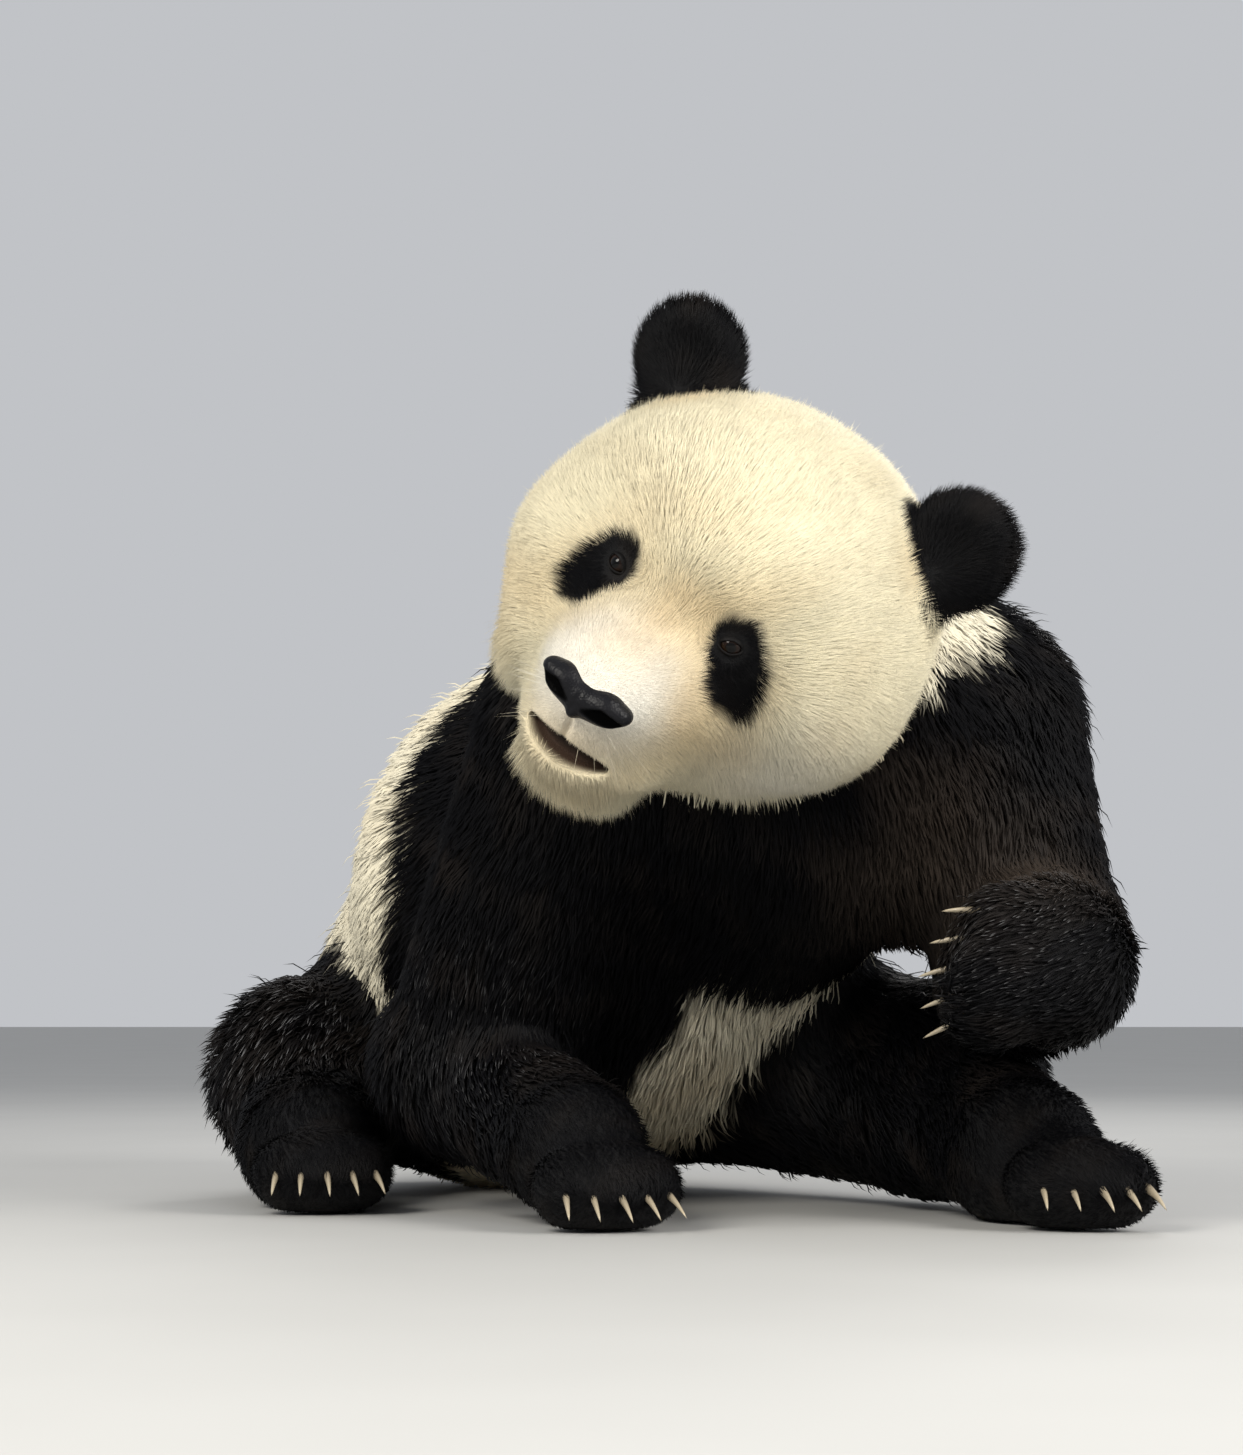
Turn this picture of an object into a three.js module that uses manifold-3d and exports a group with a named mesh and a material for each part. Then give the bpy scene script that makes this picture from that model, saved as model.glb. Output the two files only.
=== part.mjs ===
// Giant panda, a still life-size model: it sits on its rump, leans forward on its right forepaw,
// rests its left forearm on its raised left knee and tips its head towards its left shoulder.
// Millimetres, +Z up. The panda faces -Y, so its own left is towards +X.
// The animal is one smooth body, out to the tips of its coat, parted by thin cuts into its parts.
import * as THREE from 'three';
import { mergeVertices } from 'three/addons/utils/BufferGeometryUtils.js';
import Module from 'manifold-3d';

const wasm = await Module();
wasm.setup();

// ---- Driving dimensions ----------------------------------------------------------------------

const CUT = 0.3;                 // gap between neighbouring parts
const SEAM_CELL = 80;            // size of the facets on the curved cuts between parts
const MARGIN = 120;              // how far the space of a part runs past its own form
const FLOOR_BLOCK = 4000;        // sides of the blocks that cut the floor, the paws and the ears
const PAW_BLOCK = 600;
const EAR_BLOCK = 167;
const FACETS = {                 // on the coat: [size of the first facets, how far they may stray]
  head: [13, 5.2], foreleg: [17, 10], hindleg: [18, 12], tail: [18, 10], neck: [28, 18], trunk: [28, 20],
};

const HEAD_CENTRE = [181, -560, 466];
const HEAD_ROLL = 33.1;          // degrees, crown tipped to the panda's left
const HEAD_PITCH = 24.4;         // face lowered
const HEAD_YAW = -11;            // face turned to the panda's right

const SHOULDER_RIGHT = [84, -378, 392];
const ELBOW_RIGHT = [-18, -305, 120];
const WRIST_RIGHT = [76, -480, 56];
const BALL_OF_RIGHT_PAW = [98, -552, 32];

const SHOULDER_LEFT = [390, -300, 396];
const ELBOW_LEFT = [434, -385, 213];
const WRIST_LEFT = [430, -556, 200];
const BALL_OF_LEFT_PAW = [390, -592, 197];

const HIP_RIGHT = [-40, 90, 150];
const KNEE_RIGHT = [-158, -115, 108];
const HEEL_RIGHT = [-150, -255, 50];
const BALL_OF_RIGHT_FOOT = [-132, -345, 34];

const HIP_LEFT = [170, 10, 150];
const KNEE_LEFT = [372, -262, 98];
const HEEL_LEFT = [425, -440, 50];
const BALL_OF_LEFT_FOOT = [452, -545, 34];

const PELVIS = [30, 75, 186];
const BELLY = [100, -110, 268];
const CHEST = [222, -318, 370];
const TAIL_ROOT = [26, 262, 168];
const TAIL_TIP = [22, 284, 96];
const BODY_FLOW = { torso: 90, head: 40, ear: 14, tail: 24, leg: 56 };    // width of the soft joins
const FORM_FLOW = { head: 46, ear: 20, paw: 16, leg: 34, trunk: 60, nose: 12 };

const EAR_SPREAD = 126;          // middle of an ear from the middle of the head
const EAR_BACK = 30;
const EAR_HEIGHT = 136;
const EAR_RADIUS = 49;
const EAR_LEAN = 24;             // degrees outwards
const EAR_ROOT_LEAN = 41;        // degrees outwards of the skull's own surface under an ear
const EAR_ROOT_DROP = 19;        // from the middle of an ear down to that surface
const EYE_SPREAD = 50;
const EYE_HEIGHT = 18;
const EYE_RADIUS = 10.5;
const EYE_DEPTH = 9;             // middle of the eye below the tips of the coat
const NOSE_HEIGHT = -43;         // middle of the nose pad below the middle of the head
const NOSE_REACH = 193;          // and in front of it
const MOUTH_HEIGHT = -93;
const MOUTH_CORNER = -96;        // where the open mouth ends, in front of the middle of the head
const MOUTH_BLOCK = 240;         // length and width of the wedge that opens it
const JAW_LOW = [-64, -300, -300];
const JAW_HIGH = [64, -66, MOUTH_HEIGHT];
const TOES = 5;
const TOE_SPACING = 0.62;        // share of the paw's half width from toe to toe
const TOE_FAN = 0.12;            // how far each toe turns outwards from the one before
const TOE_SETBACK = 5;           // how far each toe stays behind its inner neighbour
const TOE_RADII = [20, 17];
const CLAW_LENGTH = 34;
const CLAW_RADIUS = 4.6;
const CLAW_ROOT = 11;            // from the middle of the toe's tip to the root of its claw

// ---- Small vector and distance functions -----------------------------------------------------

const add = (a, b) => [a[0] + b[0], a[1] + b[1], a[2] + b[2]];
const sub = (a, b) => [a[0] - b[0], a[1] - b[1], a[2] - b[2]];
const dot = (a, b) => a[0] * b[0] + a[1] * b[1] + a[2] * b[2];
const scale = (a, s) => [a[0] * s, a[1] * s, a[2] * s];
const unit = (a) => scale(a, 1 / Math.hypot(...a));
const cross = (a, b) => [a[1] * b[2] - a[2] * b[1], a[2] * b[0] - a[0] * b[2], a[0] * b[1] - a[1] * b[0]];
const mix = (a, b, t) => add(a, scale(sub(b, a), t));
const clamp = (x, low, high) => Math.min(Math.max(x, low), high);

// A limb: a tapered bar with round ends.
function limb(a, b, radiusA, radiusB) {
  const axis = sub(b, a);
  const length2 = dot(axis, axis);
  const reach = Math.max(radiusA, radiusB);
  return {
    low: a.map((v, i) => Math.min(v, b[i]) - reach),
    high: a.map((v, i) => Math.max(v, b[i]) + reach),
    distance(p) {
      const d = sub(p, a);
      const t = clamp(dot(d, axis) / length2, 0, 1);
      const r = sub(d, scale(axis, t));
      return Math.hypot(...r) - (radiusA + (radiusB - radiusA) * t);
    },
  };
}

// A muscle: an ellipsoid, turned by a frame of three axes.
function muscle(centre, radii, axes = [[1, 0, 0], [0, 1, 0], [0, 0, 1]]) {
  const reach = Math.max(...radii);
  return {
    low: centre.map((v) => v - reach),
    high: centre.map((v) => v + reach),
    distance(p) {
      const d = sub(p, centre);
      const local = axes.map((axis) => dot(d, axis));
      const k0 = Math.hypot(...local.map((v, i) => v / radii[i]));
      const k1 = Math.hypot(...local.map((v, i) => v / (radii[i] * radii[i])));
      return k1 < 1e-9 ? -Math.min(...radii) : k0 * (k0 - 1) / k1;
    },
  };
}

// Smooth union of two distances: flesh that flows from one form into the next.
function flow(a, b, width) {
  const h = Math.max(width - Math.abs(a - b), 0) / width;
  return Math.min(a, b) - h * h * width * 0.25;
}

// A form made of several shapes that flow together.
function form(shapes, width) {
  return {
    low: [0, 1, 2].map((i) => Math.min(...shapes.map((s) => s.low[i]))),
    high: [0, 1, 2].map((i) => Math.max(...shapes.map((s) => s.high[i]))),
    distance: (p) => shapes.reduce((d, s) => flow(d, s.distance(p), width), 1e6),
  };
}

// ---- The head's own frame --------------------------------------------------------------------

// x runs to the panda's left, y to the back of the head, z to its crown.
const [pitch, roll, yaw] = [HEAD_PITCH, HEAD_ROLL, HEAD_YAW].map(THREE.MathUtils.degToRad);
const headTurn = new THREE.Matrix4().makeRotationFromEuler(new THREE.Euler(pitch, roll, yaw, 'YXZ'));
const headAxes = [0, 1, 2].map((i) => new THREE.Vector3().setFromMatrixColumn(headTurn, i).toArray());
const onHead = (x, y, z) => add(HEAD_CENTRE,
  add(add(scale(headAxes[0], x), scale(headAxes[1], y)), scale(headAxes[2], z)));
const headMuscle = (x, y, z, radii) => muscle(onHead(x, y, z), radii, headAxes);
const bothSides = (make) => [make(-1), make(1)];

// ---- The forms of the body -------------------------------------------------------------------

const forms = {};

forms.head = form([
  headMuscle(0, 28, 42, [152, 138, 118]),                                    // cranium
  headMuscle(0, -42, 66, [104, 86, 76]),                                     // forehead
  ...bothSides((side) => headMuscle(side * 83, -4, -14, [85, 96, 80])),      // cheeks
  headMuscle(0, -20, -68, [96, 98, 72]),                                     // throat and jaw angle
  headMuscle(-72, -48, -72, [50, 62, 50]),                                   // the lower, slack jowl
  headMuscle(0, -120, -45, [62, 80, 50]),                                    // muzzle
  headMuscle(0, -116, -106, [52, 62, 38]),                                   // chin
], FORM_FLOW.head);

// Each ear is a thick round cup that leans outwards from its root.
const ears = {};
for (const [name, side] of [['ear_right', -1], ['ear_left', 1]]) {
  const lean = THREE.MathUtils.degToRad(EAR_LEAN) * side;
  const out = add(scale(headAxes[0], Math.cos(lean)), scale(headAxes[2], -Math.sin(lean)));
  const up = add(scale(headAxes[2], Math.cos(lean)), scale(headAxes[0], Math.sin(lean)));
  const middle = onHead(side * EAR_SPREAD, EAR_BACK, EAR_HEIGHT);
  const axes = [out, headAxes[1], up];
  const slope = THREE.MathUtils.degToRad(EAR_ROOT_LEAN) * side;
  const away = add(scale(headAxes[2], Math.cos(slope)), scale(headAxes[0], Math.sin(slope)));
  ears[name] = {
    root: add(middle, scale(away, -EAR_ROOT_DROP)),
    away,
    ...form([muscle(middle, [EAR_RADIUS, 25, EAR_RADIUS + 2], axes),
      muscle(add(middle, scale(up, -0.95 * EAR_RADIUS)), [42, 28, 34], axes)], FORM_FLOW.ear),
  };
}

// A paw: its pad, and a row of toes that spread across it. Returns the form and the toes' places.
function paw(wrist, ball, across, radii, toeReach, width, pointing) {
  const along = unit(sub(ball, wrist));
  const toes = [];
  for (let n = 0; n < TOES; n++) {
    const place = n - (TOES - 1) / 2;
    const root = add(ball, scale(across, place * width * TOE_SPACING));
    const heading = unit(add(pointing, scale(across, place * TOE_FAN)));
    toes.push({ heading, tip: add(root, scale(heading, toeReach - Math.abs(place) * TOE_SETBACK)) });
  }
  const padRadius = radii[1] - 5;
  const shapes = [limb(wrist, ball, ...radii),
    limb(add(ball, scale(across, -width)), add(ball, scale(across, width)), padRadius, padRadius),
    ...toes.map(({ tip, heading }) => limb(add(tip, scale(heading, -TOE_RADII[0])), tip, ...TOE_RADII))];
  return { ...form(shapes, FORM_FLOW.paw), wrist, along, toes };
}

const pawForms = {};
pawForms.forepaw_right = paw(WRIST_RIGHT, BALL_OF_RIGHT_PAW, unit([0.95, 0.3, 0]), [46, 36], 24, 26,
  [0.3, -0.94, -0.14]);
pawForms.forepaw_left = paw(WRIST_LEFT, BALL_OF_LEFT_PAW, unit([0.2, -0.1, 1]), [56, 38], 26, 28,
  [-0.94, -0.33, -0.08]);
pawForms.foot_right = paw(HEEL_RIGHT, BALL_OF_RIGHT_FOOT, unit([1, 0.2, 0]), [52, 38], 26, 26,
  [0.19, -0.98, -0.05]);
pawForms.foot_left = paw(HEEL_LEFT, BALL_OF_LEFT_FOOT, unit([0.97, -0.25, 0]), [52, 38], 26, 26,
  [0.24, -0.97, -0.05]);

forms.foreleg_right = form([
  limb(SHOULDER_RIGHT, ELBOW_RIGHT, 92, 72), limb(ELBOW_RIGHT, WRIST_RIGHT, 70, 48), pawForms.forepaw_right,
], FORM_FLOW.leg);
forms.foreleg_left = form([
  limb(SHOULDER_LEFT, ELBOW_LEFT, 106, 78), limb(ELBOW_LEFT, WRIST_LEFT, 74, 60), pawForms.forepaw_left,
], FORM_FLOW.leg);
forms.hindleg_right = form([
  limb(HIP_RIGHT, KNEE_RIGHT, 120, 90), limb(KNEE_RIGHT, HEEL_RIGHT, 82, 56), pawForms.foot_right,
], FORM_FLOW.leg);
forms.hindleg_left = form([
  limb(HIP_LEFT, KNEE_LEFT, 120, 88), limb(KNEE_LEFT, HEEL_LEFT, 80, 56), pawForms.foot_left,
], FORM_FLOW.leg);
forms.tail = limb(TAIL_ROOT, TAIL_TIP, 34, 27);
forms.neck = limb(onHead(6, 60, 6), mix(CHEST, SHOULDER_LEFT, 0.3), 128, 150);
forms.trunk = form([
  limb(CHEST, BELLY, 162, 212),
  limb(BELLY, PELVIS, 212, 194),
  limb(mix(SHOULDER_LEFT, SHOULDER_RIGHT, 0.3), mix(SHOULDER_LEFT, SHOULDER_RIGHT, 0.7), 118, 118),
], FORM_FLOW.trunk);

const LEGS = ['foreleg_right', 'foreleg_left', 'hindleg_right', 'hindleg_left'];

// Each limb flows into the trunk; limbs that only touch each other keep a crease.
function bodyDistance(p) {
  const torso = flow(forms.trunk.distance(p), forms.neck.distance(p), BODY_FLOW.torso);
  let head = flow(torso, forms.head.distance(p), BODY_FLOW.head);
  for (const ear of Object.values(ears)) head = flow(head, ear.distance(p), BODY_FLOW.ear);
  let whole = Math.min(head, flow(torso, forms.tail.distance(p), BODY_FLOW.tail));
  for (const leg of LEGS) whole = Math.min(whole, flow(torso, forms[leg].distance(p), BODY_FLOW.leg));
  return whole;
}

// ---- From a distance function to a closed mesh ------------------------------------------------

// The eight corners of a cell and its twelve edges, as pairs of corners.
const CORNERS = [0, 1, 2, 3, 4, 5, 6, 7].map((i) => [i & 1, (i >> 1) & 1, (i >> 2) & 1]);
const EDGES = [];
for (let a = 0; a < 8; a++) {
  for (const bit of [1, 2, 4]) if (!(a & bit)) EDGES.push([a, a | bit]);
}
const FACES = [];
for (const bit of [1, 2, 4]) {
  for (const value of [0, bit]) FACES.push([0, 1, 2, 3, 4, 5, 6, 7].filter((c) => (c & bit) === value));
}

// Sheets of the surface inside one cell: groups of crossed edges that join across its faces.
function sheetsOf(inside) {
  const crossed = EDGES.map(([a, b]) => inside[a] !== inside[b]);
  const group = EDGES.map((_, i) => i);
  const root = (i) => (group[i] === i ? i : root(group[i]));
  for (const face of FACES) {
    const onFace = EDGES.map((e, i) => i).filter((i) => crossed[i] && EDGES[i].every((c) => face.includes(c)));
    if (onFace.length === 2) group[root(onFace[0])] = root(onFace[1]);
    if (onFace.length === 4) {
      for (const corner of face.filter((c) => inside[c])) {
        const pair = onFace.filter((i) => EDGES[i].includes(corner));
        group[root(pair[0])] = root(pair[1]);
      }
    }
  }
  return EDGES.map((_, i) => (crossed[i] ? root(i) : -1));
}

// Moves a point straight onto the surface, by no more than a part of its cell.
function settle(distance, p, cell) {
  const h = cell * 0.05;
  const gradient = [0, 1, 2].map((i) => {
    const [ahead, behind] = [[...p], [...p]];
    ahead[i] += h;
    behind[i] -= h;
    return (distance(ahead) - distance(behind)) / (2 * h);
  });
  const slope2 = dot(gradient, gradient);
  if (slope2 < 0.01) return p;
  const move = clamp(-distance(p) / slope2, -cell * 0.2, cell * 0.2);
  return add(p, scale(gradient, move));
}

// Meshes distance(p) < 0 inside a box with cubic cells: one point for each sheet in a cell, moved
// right onto the surface where a tight fit is asked for.
function surface(distance, low, high, cell, tight = true) {
  const count = low.map((v, i) => Math.ceil((high[i] - v) / cell) + 3);
  const origin = low.map((v) => v - cell);
  const at = (i, j, k) => (k * count[1] + j) * count[0] + i;
  const value = new Float64Array(count[0] * count[1] * count[2]);
  for (let k = 0; k < count[2]; k++) {
    for (let j = 0; j < count[1]; j++) {
      for (let i = 0; i < count[0]; i++) {
        const rim = i === 0 || j === 0 || k === 0 || i === count[0] - 1 || j === count[1] - 1 || k === count[2] - 1;
        const d = distance([origin[0] + i * cell, origin[1] + j * cell, origin[2] + k * cell]);
        value[at(i, j, k)] = rim ? Math.max(d, cell * 0.5) : d;
      }
    }
  }
  const points = [];
  const pointOf = new Map();
  for (let k = 0; k < count[2] - 1; k++) {
    for (let j = 0; j < count[1] - 1; j++) {
      for (let i = 0; i < count[0] - 1; i++) {
        const v = CORNERS.map(([x, y, z]) => value[at(i + x, j + y, k + z)]);
        const inside = v.map((x) => x < 0);
        if (inside.every((x) => x === inside[0])) continue;
        const sheet = sheetsOf(inside);
        for (const name of new Set(sheet.filter((s) => s >= 0))) {
          const middle = [0, 0, 0];
          let number = 0;
          EDGES.forEach(([a, b], e) => {
            if (sheet[e] !== name) return;
            const t = v[a] / (v[a] - v[b]);
            for (let x = 0; x < 3; x++) middle[x] += CORNERS[a][x] + (CORNERS[b][x] - CORNERS[a][x]) * t;
            number += 1;
          });
          const p = [i, j, k].map((n, x) => origin[x] + (n + middle[x] / number) * cell);
          points.push(tight ? settle(distance, p, cell) : p);
          sheet.forEach((s, e) => {
            if (s === name) pointOf.set(at(i, j, k) * 12 + e, points.length - 1);
          });
        }
      }
    }
  }

  // Each crossed grid edge is shared by four cells, whose points make a four-sided facet.
  const triangles = [];
  const edgeIn = (corner, bit) => EDGES.findIndex(([a, b]) => a === corner && b === (corner | bit));
  for (let k = 0; k < count[2] - 1; k++) {
    for (let j = 0; j < count[1] - 1; j++) {
      for (let i = 0; i < count[0] - 1; i++) {
        for (const axis of [0, 1, 2]) {
          const u = (axis + 1) % 3;
          const w = (axis + 2) % 3;
          const start = [i, j, k];
          if (start[u] === 0 || start[w] === 0) continue;
          const next = [i, j, k];
          next[axis] += 1;
          const here = value[at(i, j, k)] < 0;
          if (here === value[at(...next)] < 0) continue;
          const ring = [[0, 0], [1, 0], [1, 1], [0, 1]].map(([du, dw]) => {
            const c = [...start];
            c[u] -= du;
            c[w] -= dw;
            const corner = (du << u) | (dw << w);
            return pointOf.get(at(...c) * 12 + edgeIn(corner, 1 << axis));
          });
          if (!here) ring.reverse();
          // The shorter diagonal gives the flatter pair of triangles.
          const span = (a, b) => Math.hypot(...sub(points[ring[a]], points[ring[b]]));
          const turn = span(0, 2) <= span(1, 3) ? 0 : 1;
          const q = [0, 1, 2, 3].map((n) => ring[(n + turn) % 4]);
          triangles.push(q[0], q[1], q[2], q[0], q[2], q[3]);
        }
      }
    }
  }
  return { points, triangles };
}

// Thins a mesh by collapsing edges, while no facet strays from the first ones by more than a tolerance.
function thinned({ points, triangles }, tolerance, longest) {
  const place = points.map((p) => [...p]);
  const faces = [];
  for (let t = 0; t < triangles.length; t += 3) faces.push([...triangles.slice(t, t + 3)]);
  const around = points.map(() => new Set());
  const quadric = points.map(() => new Float64Array(10));
  const normalOf = (a, b, c) => cross(sub(b, a), sub(c, a));
  faces.forEach((face, f) => {
    const normal = normalOf(...face.map((i) => place[i]));
    const size = Math.hypot(...normal);
    const [x, y, z] = size > 0 ? scale(normal, 1 / size) : [0, 0, 0];
    const w = -dot([x, y, z], place[face[0]]);
    const plane = [x * x, x * y, x * z, x * w, y * y, y * z, y * w, z * z, z * w, w * w];
    for (const i of face) {
      around[i].add(f);
      plane.forEach((v, n) => { quadric[i][n] += v; });
    }
  });
  const error = (q, [x, y, z]) => q[0] * x * x + 2 * q[1] * x * y + 2 * q[2] * x * z + 2 * q[3] * x
    + q[4] * y * y + 2 * q[5] * y * z + 2 * q[6] * y + q[7] * z * z + 2 * q[8] * z + q[9];
  const stamp = new Uint32Array(points.length);
  const buckets = Array.from({ length: 64 }, () => []);
  const limit = tolerance * tolerance;
  const offer = (a, b, lowest) => {
    if (Math.hypot(...sub(place[a], place[b])) > longest) return;
    const q = quadric[a].map((v, n) => v + quadric[b][n]);
    const spots = [place[a], place[b], mix(place[a], place[b], 0.5)];
    const costs = spots.map((p) => error(q, p));
    const best = costs.indexOf(Math.min(...costs));
    if (costs[best] > limit) return;
    const level = clamp(Math.floor(costs[best] / limit * 63), lowest, 63);
    buckets[level].push({ a, b, spot: spots[best], q, stamps: [stamp[a], stamp[b]] });
  };
  const neighbours = (i) => new Set([...around[i]].flatMap((f) => faces[f]).filter((j) => j !== i));
  points.forEach((_, i) => neighbours(i).forEach((j) => { if (i < j) offer(i, j, 0); }));
  for (let level = 0; level < 64; level++) {
    while (buckets[level].length) {
      const { a, b, spot, q, stamps } = buckets[level].pop();
      if (stamp[a] !== stamps[0] || stamp[b] !== stamps[1]) continue;
      const shared = [...neighbours(a)].filter((i) => neighbours(b).has(i));
      const gone = [...around[a]].filter((f) => around[b].has(f));
      if (shared.length !== 2 || gone.length !== 2) continue;
      const kept = [...around[a], ...around[b]].filter((f) => !gone.includes(f));
      const folds = kept.some((f) => {
        const before = faces[f].map((i) => place[i]);
        const after = faces[f].map((i) => (i === a || i === b ? spot : place[i]));
        const [n0, n1] = [normalOf(...before), normalOf(...after)];
        return dot(n0, n1) < 0.5 * Math.hypot(...n0) * Math.hypot(...n1) || Math.hypot(...n1) < 1;
      });
      if (folds) continue;
      for (const f of gone) {
        for (const i of faces[f]) around[i].delete(f);
        faces[f] = null;
      }
      for (const f of around[b]) {
        faces[f] = faces[f].map((i) => (i === b ? a : i));
        around[a].add(f);
      }
      around[b] = new Set();
      place[a] = spot;
      quadric[a] = q;
      stamp[a] += 1;
      stamp[b] += 1;
      neighbours(a).forEach((j) => offer(Math.min(a, j), Math.max(a, j), level));
    }
  }
  const left = faces.filter((face) => face);
  const number = new Map();
  left.flat().forEach((i) => { if (!number.has(i)) number.set(i, number.size); });
  return { points: [...number.keys()].map((i) => place[i]), triangles: left.flat().map((i) => number.get(i)) };
}

const solid = ({ points, triangles }) => new wasm.Manifold(new wasm.Mesh({
  numProp: 3,
  vertProperties: Float32Array.from(points.flat()),
  triVerts: Uint32Array.from(triangles),
}));

// A solid from one of three's own closed geometries.
function solidOf(geometry) {
  const bare = geometry.clone();
  bare.deleteAttribute('normal');
  bare.deleteAttribute('uv');
  const merged = mergeVertices(bare, 1e-4);
  return new wasm.Manifold(new wasm.Mesh({
    numProp: 3,
    vertProperties: Float32Array.from(merged.attributes.position.array),
    triVerts: Uint32Array.from(merged.index.array),
  }));
}

// The same mesh, grown: every point moves so that the planes of the facets round it move outwards
// by the same small distance, as nearly as they all can.
function swollen({ points, triangles }, by) {
  const planes = points.map(() => []);
  for (let t = 0; t < triangles.length; t += 3) {
    const corner = [0, 1, 2].map((n) => triangles[t + n]);
    const [a, b, c] = corner.map((i) => points[i]);
    const normal = cross(sub(b, a), sub(c, a));
    if (Math.hypot(...normal) > 1e-6) corner.forEach((i) => planes[i].push(unit(normal)));
  }
  const moved = points.map((p, i) => {
    const fit = new THREE.Matrix3().set(0.02, 0, 0, 0, 0.02, 0, 0, 0, 0.02);
    const sum = new THREE.Vector3();
    for (const n of planes[i]) {
      for (let row = 0; row < 3; row++) {
        for (let column = 0; column < 3; column++) fit.elements[column * 3 + row] += n[row] * n[column];
      }
      sum.add(new THREE.Vector3(...n));
    }
    const step = sum.applyMatrix3(fit.invert()).multiplyScalar(by).clampLength(0, 6 * by);
    return add(p, step.toArray());
  });
  return { points: moved, triangles };
}

const largest = (body) => body.decompose().reduce((a, b) => (a.volume() > b.volume() ? a : b));

// ---- Parting the body ------------------------------------------------------------------------

// The parts are cut off in this order, and the trunk is what remains.
const ORDER = ['head', ...LEGS, 'tail', 'neck', 'trunk'];

const facetsOf = (name) => FACETS[Object.keys(FACETS).find((kind) => name.startsWith(kind))];

// The space that belongs to a part: nearer to its own form than to any that is cut off later.
function territory(name, later) {
  const own = forms[name];
  const distance = (p) => {
    const d = own.distance(p);
    if (d > MARGIN + SEAM_CELL) return d - MARGIN;
    return Math.max(d - Math.min(...later.map((other) => forms[other].distance(p))), d - MARGIN);
  };
  const [low, high] = [own.low.map((v) => v - MARGIN), own.high.map((v) => v + MARGIN)];
  return surface(distance, low, high, SEAM_CELL, false);
}

// A block of the given size that starts at a point and runs along a direction.
function block(start, along, size) {
  const geometry = new THREE.BoxGeometry(size, size, size).translate(0, 0, size / 2);
  const turn = new THREE.Quaternion().setFromUnitVectors(new THREE.Vector3(0, 0, 1),
    new THREE.Vector3(...along));
  return solidOf(geometry.applyQuaternion(turn).translate(...start));
}

// Cuts the smooth body into its parts, each with facets of its own size.
function partBody() {
  const parts = {};
  const cutters = [block([0, 0, 0], [0, 0, -1], FLOOR_BLOCK)];          // the floor
  ORDER.forEach((name, n) => {
    const later = ORDER.slice(n + 1);
    const [cell, stray] = facetsOf(name);
    const reach = later.length ? [name] : ORDER;
    const low = [0, 1, 2].map((i) => Math.min(...reach.map((r) => forms[r].low[i])) - MARGIN);
    const high = [0, 1, 2].map((i) => Math.max(...reach.map((r) => forms[r].high[i])) + MARGIN);
    let part = solid(thinned(surface(bodyDistance, low, high, cell), stray, cell * 7));
    const space = later.length ? territory(name, later) : null;
    if (space) part = part.intersect(solid(space));
    for (const cutter of cutters) part = part.subtract(cutter);
    parts[name] = largest(part);
    if (space) cutters.push(solid(swollen(space, CUT)));
  });
  return parts;
}

// Splits a part by a plane across it, with a gap, into what lies behind the plane and ahead of it.
function split(part, point, along, size) {
  const ahead = part.intersect(block(add(point, scale(along, CUT)), along, size - 2 * CUT));
  return [largest(part.subtract(block(point, along, size))), largest(ahead)];
}

// ---- Eyes, nose, mouth and claws --------------------------------------------------------------

// How far in front of the middle of the head the coat stands at a place on the face.
function faceReach(x, z, depth) {
  let [near, far] = [0, 320];
  for (let n = 0; n < 30; n++) {
    const middle = (near + far) / 2;
    if (forms.head.distance(onHead(x, -middle, z)) < -depth) near = middle;
    else far = middle;
  }
  return near;
}

// A ball turned with the head.
const orb = (centre, radius) => solidOf(new THREE.SphereGeometry(radius, 10, 7)
  .applyMatrix4(headTurn).translate(...centre));

// The nose pad: a bridge over two wings, with a nostril hollowed into each.
function nosePad() {
  const y = -NOSE_REACH;
  const z = NOSE_HEIGHT;
  const flesh = form([headMuscle(0, y, z + 4, [25, 15, 15]),
    ...bothSides((side) => headMuscle(side * 17, y + 2, z - 1, [21, 15, 14])),
    headMuscle(0, y + 1, z - 17, [7, 11, 11])], FORM_FLOW.nose);
  const nostrils = bothSides((side) => headMuscle(side * 17, y - 13, z - 3, [7, 8, 5]));
  const distance = (p) => Math.max(flesh.distance(p), ...nostrils.map((hole) => -hole.distance(p)));
  return thinned(surface(distance, flesh.low, flesh.high, 5), 2.6, 30);
}

// The open mouth: a wedge across the muzzle that narrows to the corners of the lips.
function mouthWedge() {
  const profile = new THREE.Shape();
  profile.moveTo(MOUTH_CORNER, MOUTH_HEIGHT + 4);
  profile.lineTo(-MOUTH_BLOCK, MOUTH_HEIGHT + 8);
  profile.lineTo(-MOUTH_BLOCK, MOUTH_HEIGHT - 7);
  const wedge = new THREE.ExtrudeGeometry(profile, { depth: MOUTH_BLOCK, bevelEnabled: false, steps: 1 });
  const across = new THREE.Matrix4().set(0, 0, 1, -MOUTH_BLOCK / 2, 1, 0, 0, 0, 0, 1, 0, 0, 0, 0, 0, 1);
  return solidOf(wedge.applyMatrix4(across).applyMatrix4(headTurn).translate(...HEAD_CENTRE));
}

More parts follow.
